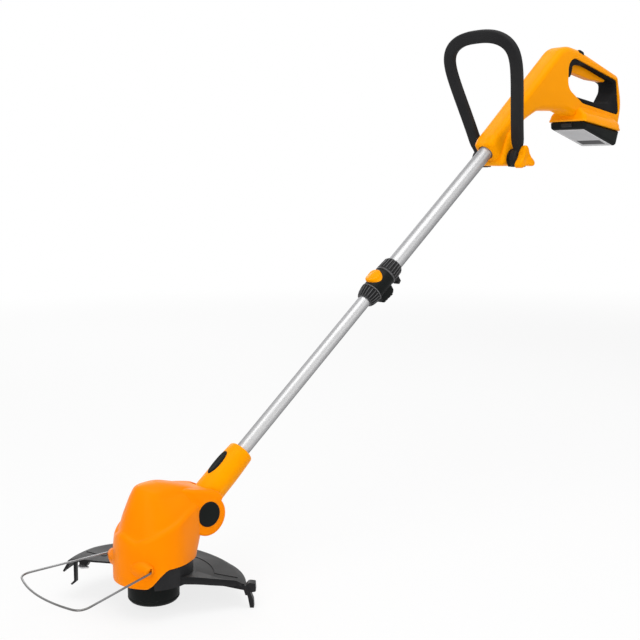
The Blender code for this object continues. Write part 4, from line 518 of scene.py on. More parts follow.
def roundedOutline(corners, step=6):
    # Rounds the (x, z, radius) corners of an outline with arcs, one point for each step in degrees
    points = []
    for i, (x, z, radius) in enumerate(corners):
        here, before, after = cornerSides(corners, i)
        turned = math.pi - before.angle(after)
        if radius <= 0 or turned < math.radians(1):
            points.append((x, z))
            continue
        reach = min(radius * math.tan(turned / 2), before.length * 0.48, after.length * 0.48)
        radius = reach / math.tan(turned / 2)
        inwards = (before.normalized() + after.normalized()).normalized()
        centre = here + inwards * (radius / math.cos(turned / 2))
        start = here + before.normalized() * reach - centre
        end = here + after.normalized() * reach - centre
        first = math.atan2(start.y, start.x)
        sweep = (math.atan2(end.y, end.x) - first + math.pi) % (2 * math.pi) - math.pi
        count = max(2, math.ceil(math.degrees(turned) / step - 0.05))
        for k in range(count + 1):
            a = first + sweep * k / count
            points.append((centre.x + radius * math.cos(a), centre.y + radius * math.sin(a)))
    return points


def insetOutline(corners, distance, step=6):
    # Moves an outline inwards, or outwards with a negative distance
    area = sum(a[0] * b[1] - b[0] * a[1] for a, b in zip(corners, corners[1:] + corners[:1])) / 2
    sign = 1 if area > 0 else -1
    moved = []
    for i, (x, z, radius) in enumerate(corners):
        here, before, after = cornerSides(corners, i)
        back, forth = -before.normalized(), after.normalized()
        normal = (Vector((-(back.y + forth.y), back.x + forth.x)) * sign).normalized()
        here += normal * distance / max(0.2, normal.dot(Vector((-forth.y, forth.x)) * sign))
        if radius > 0:
            convex = (back.x * forth.y - back.y * forth.x) * sign > 0
            radius = max(radius - distance if convex else radius + distance, 0.0004)
        moved.append((here.x, here.y, radius))
    return roundedOutline(moved, step)


def slabPiece(
    name, corners, low, high, place=handleFrame, lowRound=0.0, highRound=0.0, steps=8, step=6, spread=1.0
):
    # Side outline extruded across, with a quarter round of the given size on either face.
    # A negative size flares the outline, which leaves a rounded edge where the slab cuts.
    layers = []
    for size, level, sign in ((lowRound, low, 1), (highRound, high, -1)):
        rows = []
        if size == 0:
            rows.append((0.0, level))
        for k in range(steps + 1) if size else ():
            a = math.pi / 2 * k / steps
            if size > 0:
                rows.append((size * spread * (1 - math.sin(a)), level + sign * size * (1 - math.cos(a))))
            else:
                rows.append((size * (1 - math.sin(a)), level - sign * size * math.cos(math.pi / 2 - a)))
        layers += rows if sign > 0 else rows[::-1]
    rings = [[Vector((x, y, z)) for x, z in insetOutline(corners, depth, step)] for depth, y in layers]
    return ringMesh(name, rings, place)


def evenSlab(name, corners, half, rounding=0.0, place=handleFrame, **more):
    # The same slab on both sides of the middle plane
    return slabPiece(name, corners, -half, half, place, rounding, rounding, **more)


def boxPiece(name, low, high, place=handleFrame):
    (x0, y0, z0), (x1, y1, z1) = low, high
    outline = [(x0, y0), (x1, y0), (x1, y1), (x0, y1)]
    return ringMesh(name, [[(x, y, z) for x, y in outline] for z in (z0, z1)], place)


def sweptPiece(name, path, section, place=handleFrame, side=(0, 1, 0), widths=None):
    side = Vector(side)
    rings = []
    for i, point in enumerate(path):
        tangent = (path[min(i + 1, len(path) - 1)] - path[max(i - 1, 0)]).normalized()
        across = side.cross(tangent).normalized()
        up = tangent.cross(across)
        width = widths[i] if widths else 1.0
        rings.append([point + across * u * width + up * v for u, v in section])
    return ringMesh(name, rings, place)


def circle(radius, count=16):
    return [(radius * math.cos(a), radius * math.sin(a)) for a in turnAngles(count)]


def softBox(wide, deep, power, count=40):
    # Section between an ellipse and a rectangle
    def stretched(half, value):
        return half * math.copysign(abs(value) ** (2 / power), value)

    return [(stretched(wide, math.cos(a)), stretched(deep, math.sin(a))) for a in turnAngles(count)]


def ease(t):
    t = min(max(t, 0.0), 1.0)
    return t * t * (3 - 2 * t)


def settle(piece):
    # Works out the modifiers into the mesh
    graph = bpy.context.evaluated_depsgraph_get()
    mesh = bpy.data.meshes.new_from_object(piece.evaluated_get(graph))
    piece.modifiers.clear()
    piece.data = mesh
    mesh.name = piece.name


def subdivide(piece, levels):
    modifier = piece.modifiers.new("smooth", "SUBSURF")
    modifier.levels = modifier.render_levels = levels
    settle(piece)
    return piece


def carve(piece, adds=(), cuts=()):
    for operation, tools in (("UNION", adds), ("DIFFERENCE", cuts)):
        for tool in tools:
            modifier = piece.modifiers.new(tool.name, "BOOLEAN")
            modifier.operation, modifier.solver, modifier.object = operation, "EXACT", tool
    settle(piece)
    for tool in (*adds, *cuts):
        bpy.data.objects.remove(tool)
    return piece


def dress(piece, finish, body, slot, *nodes, sharp=38):
    mesh = piece.data
    mesh.materials.clear()
    mesh.materials.append(materials[finish])
    mesh.shade_smooth()
    mesh.set_sharp_from_angle(angle=math.radians(sharp))
    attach(piece, body)
    if nodes:
        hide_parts(*nodes)
    return piece


# Handle housing

handle = {
    "half": 0.022,
    "rounding": 0.011,
    "footZ": -0.187,
    "footHalf": 0.03,
    "pivotX": -0.276,
    "pivotZ": -0.175,
    "wall": 0.006,
    "windowEdge": 0.0012,
    "lipPitch": math.radians(7.7),
    "lipFront": (-0.079, -0.102),
    "screws": ((-0.23, -0.085), (-0.15, -0.01), (-0.148, -0.056)),
}
clampCentre = (handle["pivotX"], 0, handle["pivotZ"])
battery = {
    "length": 0.118,
    "half": 0.04,
    "frontHeight": 0.013,
    "rearHeight": 0.03,
    "rounding": 0.006,
    "railHalf": 0.028,
    "railNeckHalf": 0.023,
    "railHeight": 0.013,
    "railFlange": 0.006,
    "railInset": 0.012,
    "labelStart": 0.0095,
    "labelLength": 0.0965,
    "labelHalf": 0.0335,
}
trigger = {"half": 0.008, "pivotX": 0.027, "pivotZ": -0.016}
thumbBar = {"x": -0.065, "length": 0.0165, "half": 0.0206, "proud": 0.0006, "depth": 0.009}
screw = {"shank": 0.0016, "length": 0.008, "head": 0.0035, "arm": 0.0018, "armHalf": 0.00035, "sunk": 0.003}
railTop = -battery["railHeight"]
flangeLow = railTop + battery["railFlange"]

bodyOutline = [
    (-0.295, -0.187, 0.004), (-0.255, -0.187, 0.01), (-0.243, -0.112, 0.04), (-0.19, -0.086, 0.05),
    (-0.115, -0.083, 0.02), (-0.079, -0.092, 0.004), (0.062, -0.115, 0.006), (0.0735, -0.065, 0.08),
    (0.058, -0.0096, 0.012), (-0.07, 0.03, 0.05), (-0.119, 0.037, 0.06), (-0.318, -0.1386, 0.012),
    (-0.3262, -0.1512, 0.008),
]
windowOutline = [
    (-0.1075, 0.019, 0.022), (0.05, -0.019, 0.008), (0.0612, -0.086, 0.008), (-0.06, -0.068, 0.03),
    (-0.1075, -0.042, 0.025),
]
handOpening = [
    (-0.13, -0.022, 0.0), (-0.097, -0.022, 0.006), (-0.091, -0.001, 0.008), (-0.082, 0.003, 0.006),
    (-0.054, 0.003, 0.01), (0.036, -0.0215, 0.008), (0.047, -0.026, 0.008), (0.046, -0.04, 0.012),
    (0.029, -0.062, 0.012), (-0.021, -0.064, 0.02), (-0.08, -0.056, 0.01), (-0.13, -0.036, 0.0),
]
cavityOutline = [
    (-0.26, -0.142, 0.008), (-0.224, -0.096, 0.02), (-0.19, -0.081, 0.02), (-0.131, -0.078, 0.008),
    (-0.131, 0.0195, 0.008), (-0.26, -0.094, 0.008),
]


def lipPoint(along, down):
    # A point of the battery plane: along it from the front, and down square to it
    pitch = handle["lipPitch"]
    x, z = handle["lipFront"]
    x += along * math.cos(pitch) - down * math.sin(pitch)
    return x, z - along * math.sin(pitch) - down * math.cos(pitch)


def lipSlab(name, corners, half, rounding=0.0):
    return evenSlab(name, [(*lipPoint(a, d), r) for a, d, r in corners], half, rounding)


def lipBox(name, start, end, high, low, half):
    return lipSlab(name, [(start, high, 0.0), (end, high, 0.0), (end, low, 0.0), (start, low, 0.0)], half)


def shroudPiece():
    levels = [
        (0.0, 0.0425, 0.0), (0.0004, 0.0428, -0.0003), (0.0034, 0.0428, -0.0003), (0.004, 0.042, 0.0003),
        (0.011, 0.0402, 0.0004), (0.015, 0.0376, 0.0007), (0.018, 0.034, 0.001), (0.021, 0.03, 0.0018),
        (0.024, 0.026, 0.003), (0.027, 0.0225, 0.0044), (0.03, 0.019, 0.006),
    ]
    rings = []
    for up, half, shorten in levels:
        centre = battery["length"] / 2
        reach = centre + 0.002 - shorten
        front, rear = centre - reach, centre + reach
        corners = [(front, -half, 0.007), (rear, -half, 0.01), (rear, half, 0.01), (front, half, 0.007)]
        outline = [(*lipPoint(a, -up - fit), y) for a, y in roundedOutline(corners, 9)]
        rings.append([(x, y, z) for x, z, y in outline])
    return ringMesh("shroudForm", rings)


def triggerSlot(name):
    back = trigger["pivotX"] + 0.007
    corners = [
        (-0.0895, -0.03, 0), (back, -0.04, 0), (back, trigger["pivotZ"] + 0.007, 0), (-0.081, 0.0165, 0),
        (-0.0895, 0.0165, 0),
    ]
    return evenSlab(name, corners, trigger["half"] + 0.0005)


def thumbBarPiece(name, grow=0.0, extra=0.0):
    # With some extra height it is the well that the bar moves in
    slope = math.atan2(-0.039, 0.126)
    top = Vector((thumbBar["x"], 0.03 + (thumbBar["x"] + 0.07) * math.tan(slope)))
    along = heading(slope)
    up = Vector((-along.y, along.x))
    half = thumbBar["length"] / 2 + grow
    foot, head = -thumbBar["depth"] - grow * 10, thumbBar["proud"] + extra
    topRound, sideRound = (0.0, 0.0) if extra else (0.004, 0.003)
    corners = []
    ends = ((-half, foot, 0.0), (half, foot, 0.0), (half, head, topRound), (-half, head, topRound))
    for u, v, radius in ends:
        corner = top + along * u + up * v
        corners.append((corner.x, corner.y, radius))
    return evenSlab(name, corners, thumbBar["half"] + grow, sideRound)


def screwWell(name, place, depth, matrix=handleFrame):
    x, z = place
    shank, head = screw["shank"] + fit, screw["head"] + 0.0007
    seat = depth - fit
    profile = [(shank, seat - screw["length"]), (shank, seat), (head, seat), (head, depth + 0.03)]
    return turnedPiece(name, profile, matrix, (x, 0, z), axis="Y", count=32)


def screwPost(name, place, matrix=handleFrame):
    x, z = place
    return rodPiece(name, 0.0055, -0.08, 0.08, matrix, (x, 0, z), count=32)


def screwPiece(name, place, depth, body, node, matrix=handleFrame):
    # Pan head with a cross recess
    x, z = place
    shank, head, arm, thin = (screw[key] for key in ("shank", "head", "arm", "armHalf"))
    profile = [(shank, depth - screw["length"]), (shank, depth), (head, depth), (head, depth + 0.001, 0.0006)]
    profile += [(0.0024, depth + 0.0021, 0.0008), (0.0006, depth + 0.0022)]
    head = turnedPiece(name, softCorners(profile), matrix, (x, 0, z), axis="Y", count=40)
    low, high = depth + 0.001, depth + 0.004
    cross = []
    for word, wide, tall in (("A", arm, thin), ("B", thin, arm)):
        cross.append(boxPiece("cross" + word, (x - wide, low, z - tall), (x + wide, high, z + tall), matrix))
    carve(head, cuts=cross)
    dress(head, "steelFastener", body, "steel", node)


def makeHandleShell(side, word):
    half, rounding = handle["half"], handle["rounding"]
    low, high = sorted((side * seam, side * half))
    edges = {"lowRound": rounding * (side < 0), "highRound": rounding * (side > 0), "steps": 12, "step": 5}
    shell = slabPiece(f"handle{word.title()}", bodyOutline, low, high, **edges)
    x, foot, pivotZ = handle["pivotX"], handle["footZ"] + 0.0002, handle["pivotZ"]
    cheekOutline = [
        (x - 0.03, foot, 0.006), (x + 0.022, foot, 0.008),
        (x + 0.038, pivotZ + 0.06, 0.03), (x - 0.004, pivotZ + 0.052, 0.03),
    ]
    window = evenSlab("windowForm", windowOutline, half + 0.0002, -handle["windowEdge"])
    cheeks = evenSlab("cheeks", cheekOutline, handle["footHalf"], 0.008, spread=1.9)
    cavity = evenSlab("cavity", cavityOutline, half - handle["wall"])
    screws = list(enumerate(handle["screws"]))
    carve(cavity, cuts=[screwPost(f"post{n}", place) for n, place in screws])
    y0, y1 = sorted((side * seam, -side * 0.08))
    start, end = battery["railInset"] - 0.0106, battery["length"] + 0.04
    socket = [(0.0128, -0.0603), (0.0128, -0.0142), (0.0134, -0.013), (0.0155, 0.03)]
    cuts = [
        boxPiece("otherHalf", (-0.5, y0, -0.4), (0.3, y1, 0.3)),
        window,
        triggerSlot("slot"),
        cavity,
        turnedPiece("tubeBore", socket, shaftFrame, axis="X"),
        rodPiece("boltBore", 0.0043, -0.06, 0.06, centre=clampCentre),
        lipBox("belowLip", -0.03, battery["length"] + 0.05, -fit, 0.03, 0.06),
        lipBox("railBay", start, end, flangeLow + fit, railTop - fit, battery["railHalf"] + fit),
        lipBox("bayMouth", start + fit, end + fit, 0.004, railTop + 0.003, battery["railNeckHalf"] + fit),
        thumbBarPiece("thumbWell", fit, 0.008),
        boxPiece("switchWell", (-0.1293, -0.0073, -0.0033), (-0.1097, 0.0073, 0.0173)),
    ]
    if side > 0:
        cuts += [screwWell(f"well{n}", place, half - screw["sunk"]) for n, place in screws]
    carve(shell, adds=[shroudPiece(), cheeks], cuts=cuts)
    dress(shell, "handleOrange", "handle", "orange_plastic", f"handle_shell_{word}")


makeHandleShell(-1, "left")
makeHandleShell(1, "right")
for number, place in enumerate(handle["screws"], 1):
    depth = handle["half"] - screw["sunk"]
    screwPiece(f"handleScrew{number}", place, depth, "handle", f"handle_screw_{number}")
print("handle housing made")

# Soft grip, trigger and thumb bar

gripHalf = handle["half"] - 0.0015
lining = [(x, z, 0.0) for x, z in insetOutline(windowOutline, fit, 6)]
softGrip = evenSlab("softGrip", lining, gripHalf, 0.0025, steps=5)
opening = evenSlab("opening", handOpening, gripHalf, -0.003, steps=6)
carve(softGrip, cuts=[opening, triggerSlot("gripSlot")])
dress(softGrip, "gripRubber", "handle", "grip_rubber", "grip_overmould")

x, z = trigger["pivotX"], trigger["pivotZ"]
triggerOutline = [
    (-0.088, -0.009, 0.005), (-0.02, -0.0205, 0.02), (x, z - 0.0065, 0.004), (x + 0.006, z + 0.001, 0.004),
    (x - 0.002, z + 0.0055, 0.004), (-0.081, 0.008, 0.003), (-0.088, 0.004, 0.003),
]
triggerPiece = evenSlab("triggerLever", triggerOutline, trigger["half"], 0.0025)
dress(triggerPiece, "handleOrange", "trigger", "orange_plastic", "trigger")

thumbPiece = thumbBarPiece("thumbBar")
dress(thumbPiece, "blackPlastic", "lock_off", "black_plastic", "lock_off_button")
print("grip, trigger and thumb bar made")

# Battery


def bottomPoint(along, down):
    share = (along - 0.003) / (battery["length"] - 0.009)
    depth = battery["frontHeight"] + (battery["rearHeight"] - battery["frontHeight"]) * share
    return along, depth + down, 0.0


def labelSlab(name, start, end, high, low, half):
    corners = [bottomPoint(a, d) for a, d in ((start, low), (end, low), (end, high), (start, high))]
    return lipSlab(name, corners, half)


length = battery["length"]
caseCorners = [
    (0.0, 0.0, 0.002), (length, 0.0, 0.002),
    (length - 0.006, battery["rearHeight"], 0.006), (0.003, battery["frontHeight"], 0.005),
]
batteryCase = lipSlab("batteryCase", caseCorners, battery["half"], battery["rounding"])
railStart, railEnd = battery["railInset"], length - 0.006
adds = [
    lipBox("railNeck", railStart, railEnd, 0.004, railTop + 0.003, battery["railNeckHalf"]),
    lipBox("railFlange", railStart, railEnd, flangeLow, railTop, battery["railHalf"]),
]
labelStart, labelHalf = battery["labelStart"], battery["labelHalf"]
labelEnd = labelStart + battery["labelLength"]
cuts = [
    labelSlab("labelPocket", labelStart - fit, labelEnd + fit, -0.0006, 0.004, labelHalf + fit),
    lipBox("latchWell", -0.006, 0.008, 0.0032, 0.0103, 0.0113),
]
carve(batteryCase, adds=adds, cuts=cuts)
dress(batteryCase, "blackPlastic", "battery", "black_plastic", "battery_case")
label = labelSlab("batteryLabel", labelStart, labelEnd, -0.0003, 0.0003, labelHalf)
dress(label, "labelFoil", "battery", "label_foil", "battery_label")
# A grey panel and a dark band on it, without letters
printed = labelSlab("labelPrint", labelStart + 0.003, labelEnd - 0.003, 0.0001, 0.00045, labelHalf - 0.003)
dress(printed, "labelPrint", "battery", "label_foil")
band = labelSlab("labelBand", labelEnd - 0.033, labelEnd - 0.011, 0.0002, 0.0006, labelHalf - 0.0075)
dress(band, "blackPlastic", "battery", "label_foil")
latchCorners = [(-0.0016, 0.0035, 0.001), (0.005, 0.0035, 0.0), (0.005, 0.01, 0.0), (-0.0016, 0.01, 0.001)]
latch = lipSlab("batteryLatch", latchCorners, 0.011)
dress(latch, "blackPlastic", "battery_latch", "black_plastic", "battery_latch")
print("battery made")

# Loop handle and its clamp

loop = {
    "lean": math.radians(17.8),
    "foot": 0.0425,
    "shoulder": 0.073,
    "shoulderHeight": 0.17,
    "height": 0.2184,
    "roundness": 2.5,
    "wide": 0.0112,
    "deep": 0.0066,
    "squareness": 4.0,
    "eye": 0.019,
    "eyeHalf": 0.0065,
    "taper": (0.014, 0.034),
    "disc": 0.0185,
}


def loopPath():
    up = Vector((-math.sin(loop["lean"]), 0, math.cos(loop["lean"])))
    foot, shoulder, high = loop["foot"], loop["shoulder"], loop["shoulderHeight"]
    leg = ((foot, 0.0), (foot + 0.0105, 0.078), (shoulder, high - 0.03), (shoulder, high))
    half = []
    for k in range(33):
        t = k / 32
        weights = ((1 - t) ** 3, 3 * t * (1 - t) ** 2, 3 * t * t * (1 - t), t**3)
        half.append(sum((Vector(corner) * w for corner, w in zip(leg, weights)), Vector((0, 0))))
    power = 2 / loop["roundness"]
    for k in range(1, 33):
        a = math.pi / 2 * k / 32
        crown = (loop["height"] - high) * math.sin(a) ** power
        half.append(Vector((shoulder * max(math.cos(a), 0.0) ** power, high + crown)))
    whole = [Vector((-p.x, p.y)) for p in half] + half[-2::-1]
    return [Vector(clampCentre) + Vector((0, y, 0)) + up * u for y, u in whole], [u for y, u in whole]


loopSide = (math.cos(loop["lean"]), 0, math.sin(loop["lean"]))
path, heights = loopPath()
narrow = (loop["eyeHalf"] - 0.0002) / loop["wide"]
low, high = loop["taper"]
widths = [narrow + (1 - narrow) * ease((u - low) / (high - low)) for u in heights]
section = softBox(loop["wide"], loop["deep"], loop["squareness"])
loopPiece = sweptPiece("loopHandle", path, section, side=loopSide, widths=widths)
innerFace, outerFace = loop["foot"] - loop["eyeHalf"], loop["foot"] + loop["eyeHalf"]
eyes = []
wide = loop["eye"]
for side in (-1, 1):
    low, high = sorted((side * innerFace, side * outerFace))
    profile = softCorners([(0.001, low), (wide, low, 0.0025), (wide, high, 0.0025), (0.001, high)])
    eyes.append(turnedPiece("eye", profile, centre=clampCentre, axis="Y"))
pivotX, pivotZ = handle["pivotX"], handle["pivotZ"]
bore = rodPiece("loopBore", 0.0045, -0.09, 0.09, centre=clampCentre)
flatZ = pivotZ - 0.014
below = boxPiece("below", (pivotX - 0.03, -0.09, flatZ - 0.03), (pivotX + 0.03, 0.09, flatZ))
carve(loopPiece, eyes, [bore, below])
dress(loopPiece, "loopRubber", "loop", "grip_rubber", "loop_handle")

wide = loop["disc"]
for side, word in ((-1, "left"), (1, "right")):
    low, high = sorted((side * (handle["footHalf"] + fit), side * (innerFace - fit)))
    profile = softCorners([(0.0043, low), (wide, low, 0.0008), (wide, high, 0.0008), (0.0043, high)], True)
    disc = turnedPiece(f"pivotDisc{word.title()}", profile, centre=clampCentre, axis="Y", hollow=True)
    carve(disc, cuts=[boxPiece("discFlat", (pivotX - 0.03, -0.09, -0.21), (pivotX + 0.03, 0.09, -0.1885))])
    dress(disc, "blackPlastic", "handle", "black_plastic", f"pivot_disc_{word}")

knobShape = {"depth": 0.0135, "core": 0.0118, "reach": 0.0116, "arms": 3, "turn": math.radians(97)}
boltShape = {"radius": 0.004, "head": 0.0075, "socket": 0.0034}
boltEnd = -(outerFace + knobShape["depth"] * 0.6)
radius, head, socket = boltShape["radius"], boltShape["head"], boltShape["socket"]
boltProfile = [
    (radius, boltEnd), (radius, outerFace + fit), (head, outerFace + fit), (head, outerFace + 0.004, 0.001),
    (0.0055, outerFace + 0.0052, 0.0006), (0.001, outerFace + 0.0052),
]
bolt = turnedPiece("clampBolt", softCorners(boltProfile), centre=clampCentre, axis="Y", count=48)
hexagon = []
for k in range(6):
    a = math.radians(60 * k)
    hexagon.append((pivotX + socket * math.cos(a), pivotZ + socket * math.sin(a), 0))
carve(bolt, cuts=[slabPiece("hexSocket", hexagon, outerFace + 0.0024, outerFace + 0.02)])
dress(bolt, "steelFastener", "handle", "steel", "clamp_bolt")

knobOutline = []
for a in turnAngles(144):
    arm = (0.5 + 0.5 * math.cos(knobShape["arms"] * (a - knobShape["turn"]))) ** 2.0
    radius = knobShape["core"] + knobShape["reach"] * arm
    knobOutline.append((pivotX + radius * math.cos(a), pivotZ + radius * math.sin(a), 0))
near = -outerFace - fit
outside = near - knobShape["depth"]
knob = slabPiece("starKnob", knobOutline, outside, near, lowRound=0.0026, highRound=0.0015)
dishProfile = [(0.006, outside + 0.0012), (0.009, outside), (0.012, outside - 0.004)]
dish = turnedPiece("knobDish", dishProfile, centre=clampCentre, axis="Y")
bore = rodPiece("knobBore", 0.0043, near + 0.01, boltEnd - fit, centre=clampCentre)
carve(knob, cuts=[bore, dish])
dress(knob, "handleOrange", "knob", "orange_plastic", "star_knob")
print("loop handle and clamp made")

# Tubes and telescopic coupling

coupling = {"collarLength": 0.0275, "nutLength": 0.022, "ribs": 20, "ribHeight": 0.0021, "radius": 0.0176}
upperTube = {"radius": 0.0125, "wall": 0.0012}
lowerTube = {"radius": 0.0106, "wall": 0.0012}
collarEnd = couplingTop + coupling["collarLength"]
bodyStart = collarEnd + fit
bodyEnd = couplingEnd - coupling["nutLength"] - fit
nutStart = couplingEnd - coupling["nutLength"]
tubeEnd = bodyEnd - 0.012


def tubePiece(name, size, start, end, body, node):
    outer, inner = size["radius"], size["radius"] - size["wall"]
    profile = [(inner, start), (outer - 0.0003, start), (outer, start + 0.0003)]
    profile += [(outer, end - 0.0003), (outer - 0.0003, end), (inner, end)]
    piece = turnedPiece(name, profile, shaftFrame, axis="X", hollow=True)
    dress(piece, "aluminiumTube", body, "aluminium", node)


tubePiece("upperTube", upperTube, -0.06, tubeEnd, "handle", "upper_tube")
tubePiece("lowerTube", lowerTube, couplingTop - 0.1, neckTop + 0.055, "lower_shaft", "lower_tube")


def ribbedPiece(name, stations, bore):
    # Rings of (position, radius, rib height) with soft ribs, ten points to a rib
    rings = []
    for position, radius, height in stations:
        ring = []
        for i, a in enumerate(turnAngles(coupling["ribs"] * 10)):
            share = (i % 10) / 10
            bump = ease(share / 0.2) if share < 0.4 else ease((0.6 - share) / 0.2)
            r = radius + height * bump
            ring.append((position, r * math.cos(a), r * math.sin(a)))
        rings.append(ring)
    low, high = stations[0][0] - 0.01, stations[-1][0] + 0.01
    hole = rodPiece("bore", bore, low, high, shaftFrame, axis="X")
    return carve(ringMesh(name, rings, shaftFrame), cuts=[hole])


def downShaft(start, rows):
    # Moves the rows' first numbers down the shaft
    return [(start + row[0], *row[1:]) for row in rows]


ribHeight = coupling["ribHeight"]
collarTop = [
    (0.0, 0.014, 0.0), (0.0006, 0.0152, 0.0), (0.0016, 0.015, ribHeight * 0.4), (0.0034, 0.0151, ribHeight)
]
collarFoot = [
    (-0.0045, 0.0164, ribHeight), (-0.0036, 0.0176, 0.0), (-0.003, 0.0184, 0.0), (-0.0005, 0.0184, 0.0),
    (0.0, 0.0178, 0.0),
]
stations = downShaft(couplingTop, collarTop) + downShaft(collarEnd, collarFoot)
collar = ribbedPiece("couplingCollar", stations, upperTube["radius"] + fit)
hook = [
    (0.007, -0.014, 0.0), (0.008, -0.028, 0.002), (0.015, -0.03, 0.002), (0.017, -0.0262, 0.001),
    (0.014, -0.0245, 0.001), (0.016, -0.014, 0.0),
]
hookPiece = evenSlab("collarHook", downShaft(couplingTop, hook), 0.006, 0.0012, shaftFrame, steps=4)
dress(carve(collar, adds=[hookPiece]), "ribbedPlastic", "handle", "black_plastic", "coupling_collar")

nutTop = [(0.0, 0.0172, 0.0), (0.0006, 0.0184, 0.0), (0.0024, 0.0184, 0.0), (0.003, 0.0175, 0.0)]
nutFoot = [
    (-0.0095, 0.0149, ribHeight), (-0.006, 0.0139, ribHeight), (-0.002, 0.013, ribHeight * 0.7),
    (-0.0008, 0.0132, 0.0), (0.0, 0.0124, 0.0),
]
stations = downShaft(nutStart, nutTop + [(0.0038, 0.0164, ribHeight)]) + downShaft(couplingEnd, nutFoot)
nut = ribbedPiece("couplingNut", stations, lowerTube["radius"] + fit)
dress(nut, "ribbedPlastic", "handle", "black_plastic", "coupling_nut")

couplingButton = {"length": 0.027, "half": 0.014, "top": 0.0225}


def saddleButton(name, centre, grow, extra, floorRadius):
    # Oval button bent round the coupling; with some extra height it is the well that it moves in
    stations, across = 28, 24
    fullSpread = math.sin(math.pi / 2 * 0.94)
    spread = [math.sin(math.pi / 2 * (2 * k / across - 1) * 0.94) / fullSpread for k in range(across + 1)]
    rings = []
    for i in range(stations + 1):
        ahead = math.sin(math.pi / 2 * (2 * i / stations - 1) * 0.985)
        wide = couplingButton["half"] * math.sqrt(1 - 0.94 * ahead**2) + grow
        position = centre + ahead * (couplingButton["length"] / 2 + grow)
        ring = []
        for share in spread:
            y = wide * share
            rim = 0.0 if extra else 0.0012 * ease((ahead**2 + share**2 * 0.9 - 0.55) / 0.25)
            edge = 0.0 if extra else 0.0022 * ease((max(abs(ahead), abs(share)) - 0.88) / 0.12)
            top = couplingButton["top"] - 0.003 * ahead**4 + extra - 0.0008 * (not extra) + rim - edge
            ring.append((position, -y, math.sqrt(top**2 - y**2)))
        for share in reversed(spread):
            y = wide * share
            ring.append((position, -y, math.sqrt(max(floorRadius**2 - y**2, 1e-6))))
        rings.append(ring)
    return ringMesh(name, rings, shaftFrame)


buttonAt = (bodyStart + bodyEnd) / 2 + 0.001
radius = coupling["radius"]
bodyProfile = [(0.01, bodyStart), (radius, bodyStart, 0.001), (radius, bodyEnd, 0.001), (0.01, bodyEnd)]
couplingBody = turnedPiece("couplingBody", softCorners(bodyProfile), shaftFrame, axis="X")
cuts = [
    rodPiece("wideBore", 0.0128, bodyStart - 0.01, tubeEnd + fit, shaftFrame, axis="X"),
    rodPiece("narrowBore", 0.0109, bodyStart, bodyEnd + 0.01, shaftFrame, axis="X"),
    saddleButton("buttonWell", buttonAt, fit, 0.004, 0.0136),
]
carve(couplingBody, cuts=cuts)
dress(couplingBody, "blackPlastic", "handle", "black_plastic", "coupling_body")
buttonPiece = saddleButton("couplingButton", buttonAt, 0.0, 0.0, 0.0153)
dress(buttonPiece, "handleOrange", "coupling_button", "orange_plastic", "coupling_button", sharp=50)

seat = coupling["radius"] + fit
clipMiddle = (bodyStart + bodyEnd) / 2
clipOutline = [
    (-0.014, -seat * 0.72, 0.0), (-0.013, -seat - 0.006, 0.003), (-0.007, -seat - 0.0115, 0.003),
    (0.018, -seat - 0.0085, 0.004), (0.017, -seat * 0.72, 0.0),
]
clip = evenSlab("bladeClip", downShaft(clipMiddle, clipOutline), 0.011, 0.002, shaftFrame, steps=5)
cuts = [rodPiece("saddle", seat, bodyStart - 0.02, bodyEnd + 0.02, shaftFrame, axis="X")]
for k in range(4):
    x = clipMiddle - 0.0085 + k * 0.0062
    low, high = (x, -0.03, -seat - 0.0165), (x + 0.0022, 0.03, -seat - 0.0056)
    cuts.append(boxPiece(f"slot{k}", low, high, shaftFrame))
carve(clip, cuts=cuts)
dress(clip, "blackPlastic", "handle", "black_plastic", "blade_clip")
print("tubes and coupling made")

# Neck

neck = {"radius": 0.0212, "underside": 0.0013, "mouth": 0.0196, "knuckle": 0.0225, "knuckleHalf": 0.0215}
tiltButton = {"at": 0.04, "length": 0.042, "width": 0.014, "proud": 0.0022, "depth": 0.0065}


def neckRings():
    mouth, radius = neck["mouth"], neck["radius"]
    stations = [
        (0.0, mouth - 0.0034), (0.0004, mouth - 0.0018), (0.0014, mouth - 0.0006), (0.003, mouth),
        (0.012, mouth + 0.0006), (0.02, radius - 0.0006), (0.032, radius - 0.0001), (0.045, radius),
    ]
    rings = []
    for position, r in downShaft(neckTop, stations) + [(pivotAt - 0.03, radius), (pivotAt, radius - 0.001)]:
        under = neck["underside"] * ease((position - neckTop - 0.02) / 0.05)
        ring = []
        for a in turnAngles(96):
            ring.append((position, r * math.cos(a), r * math.sin(a) + under * min(math.sin(a), 0.0)))
        rings.append(ring)
    return rings


def tiltButtonPiece(name, grow, extra):
    # With some extra height it is the well that the button moves in
    radius, proud = neck["radius"], tiltButton["proud"]
    centre = Vector((neckTop + tiltButton["at"], 0, radius))
    levels = [(-tiltButton["depth"] - extra - grow, 0.0)]
    if extra:
        levels += [(proud * 0.3 + extra, 0.0), (proud + extra, 0.0016)]
    else:
        crown = ((0.35, 0.0), (0.7, 0.0004), (0.92, 0.0011), (1.0, 0.0022), (0.8, 0.0036))
        levels += [(proud * share, shrink) for share, shrink in crown]
    rings = []
    for height, shrink in levels:
        ring = []
        for u, v in circle(1.0, 72):
            x = u * (tiltButton["length"] / 2 + grow - shrink)
            y = v * (tiltButton["width"] / 2 + grow - shrink)
            drop = radius - math.sqrt(radius**2 - y**2) if height >= 0 else 0.0
            ring.append(centre + Vector((x, y, height - drop)))
        rings.append(ring)
    return ringMesh(name, rings, shaftFrame)


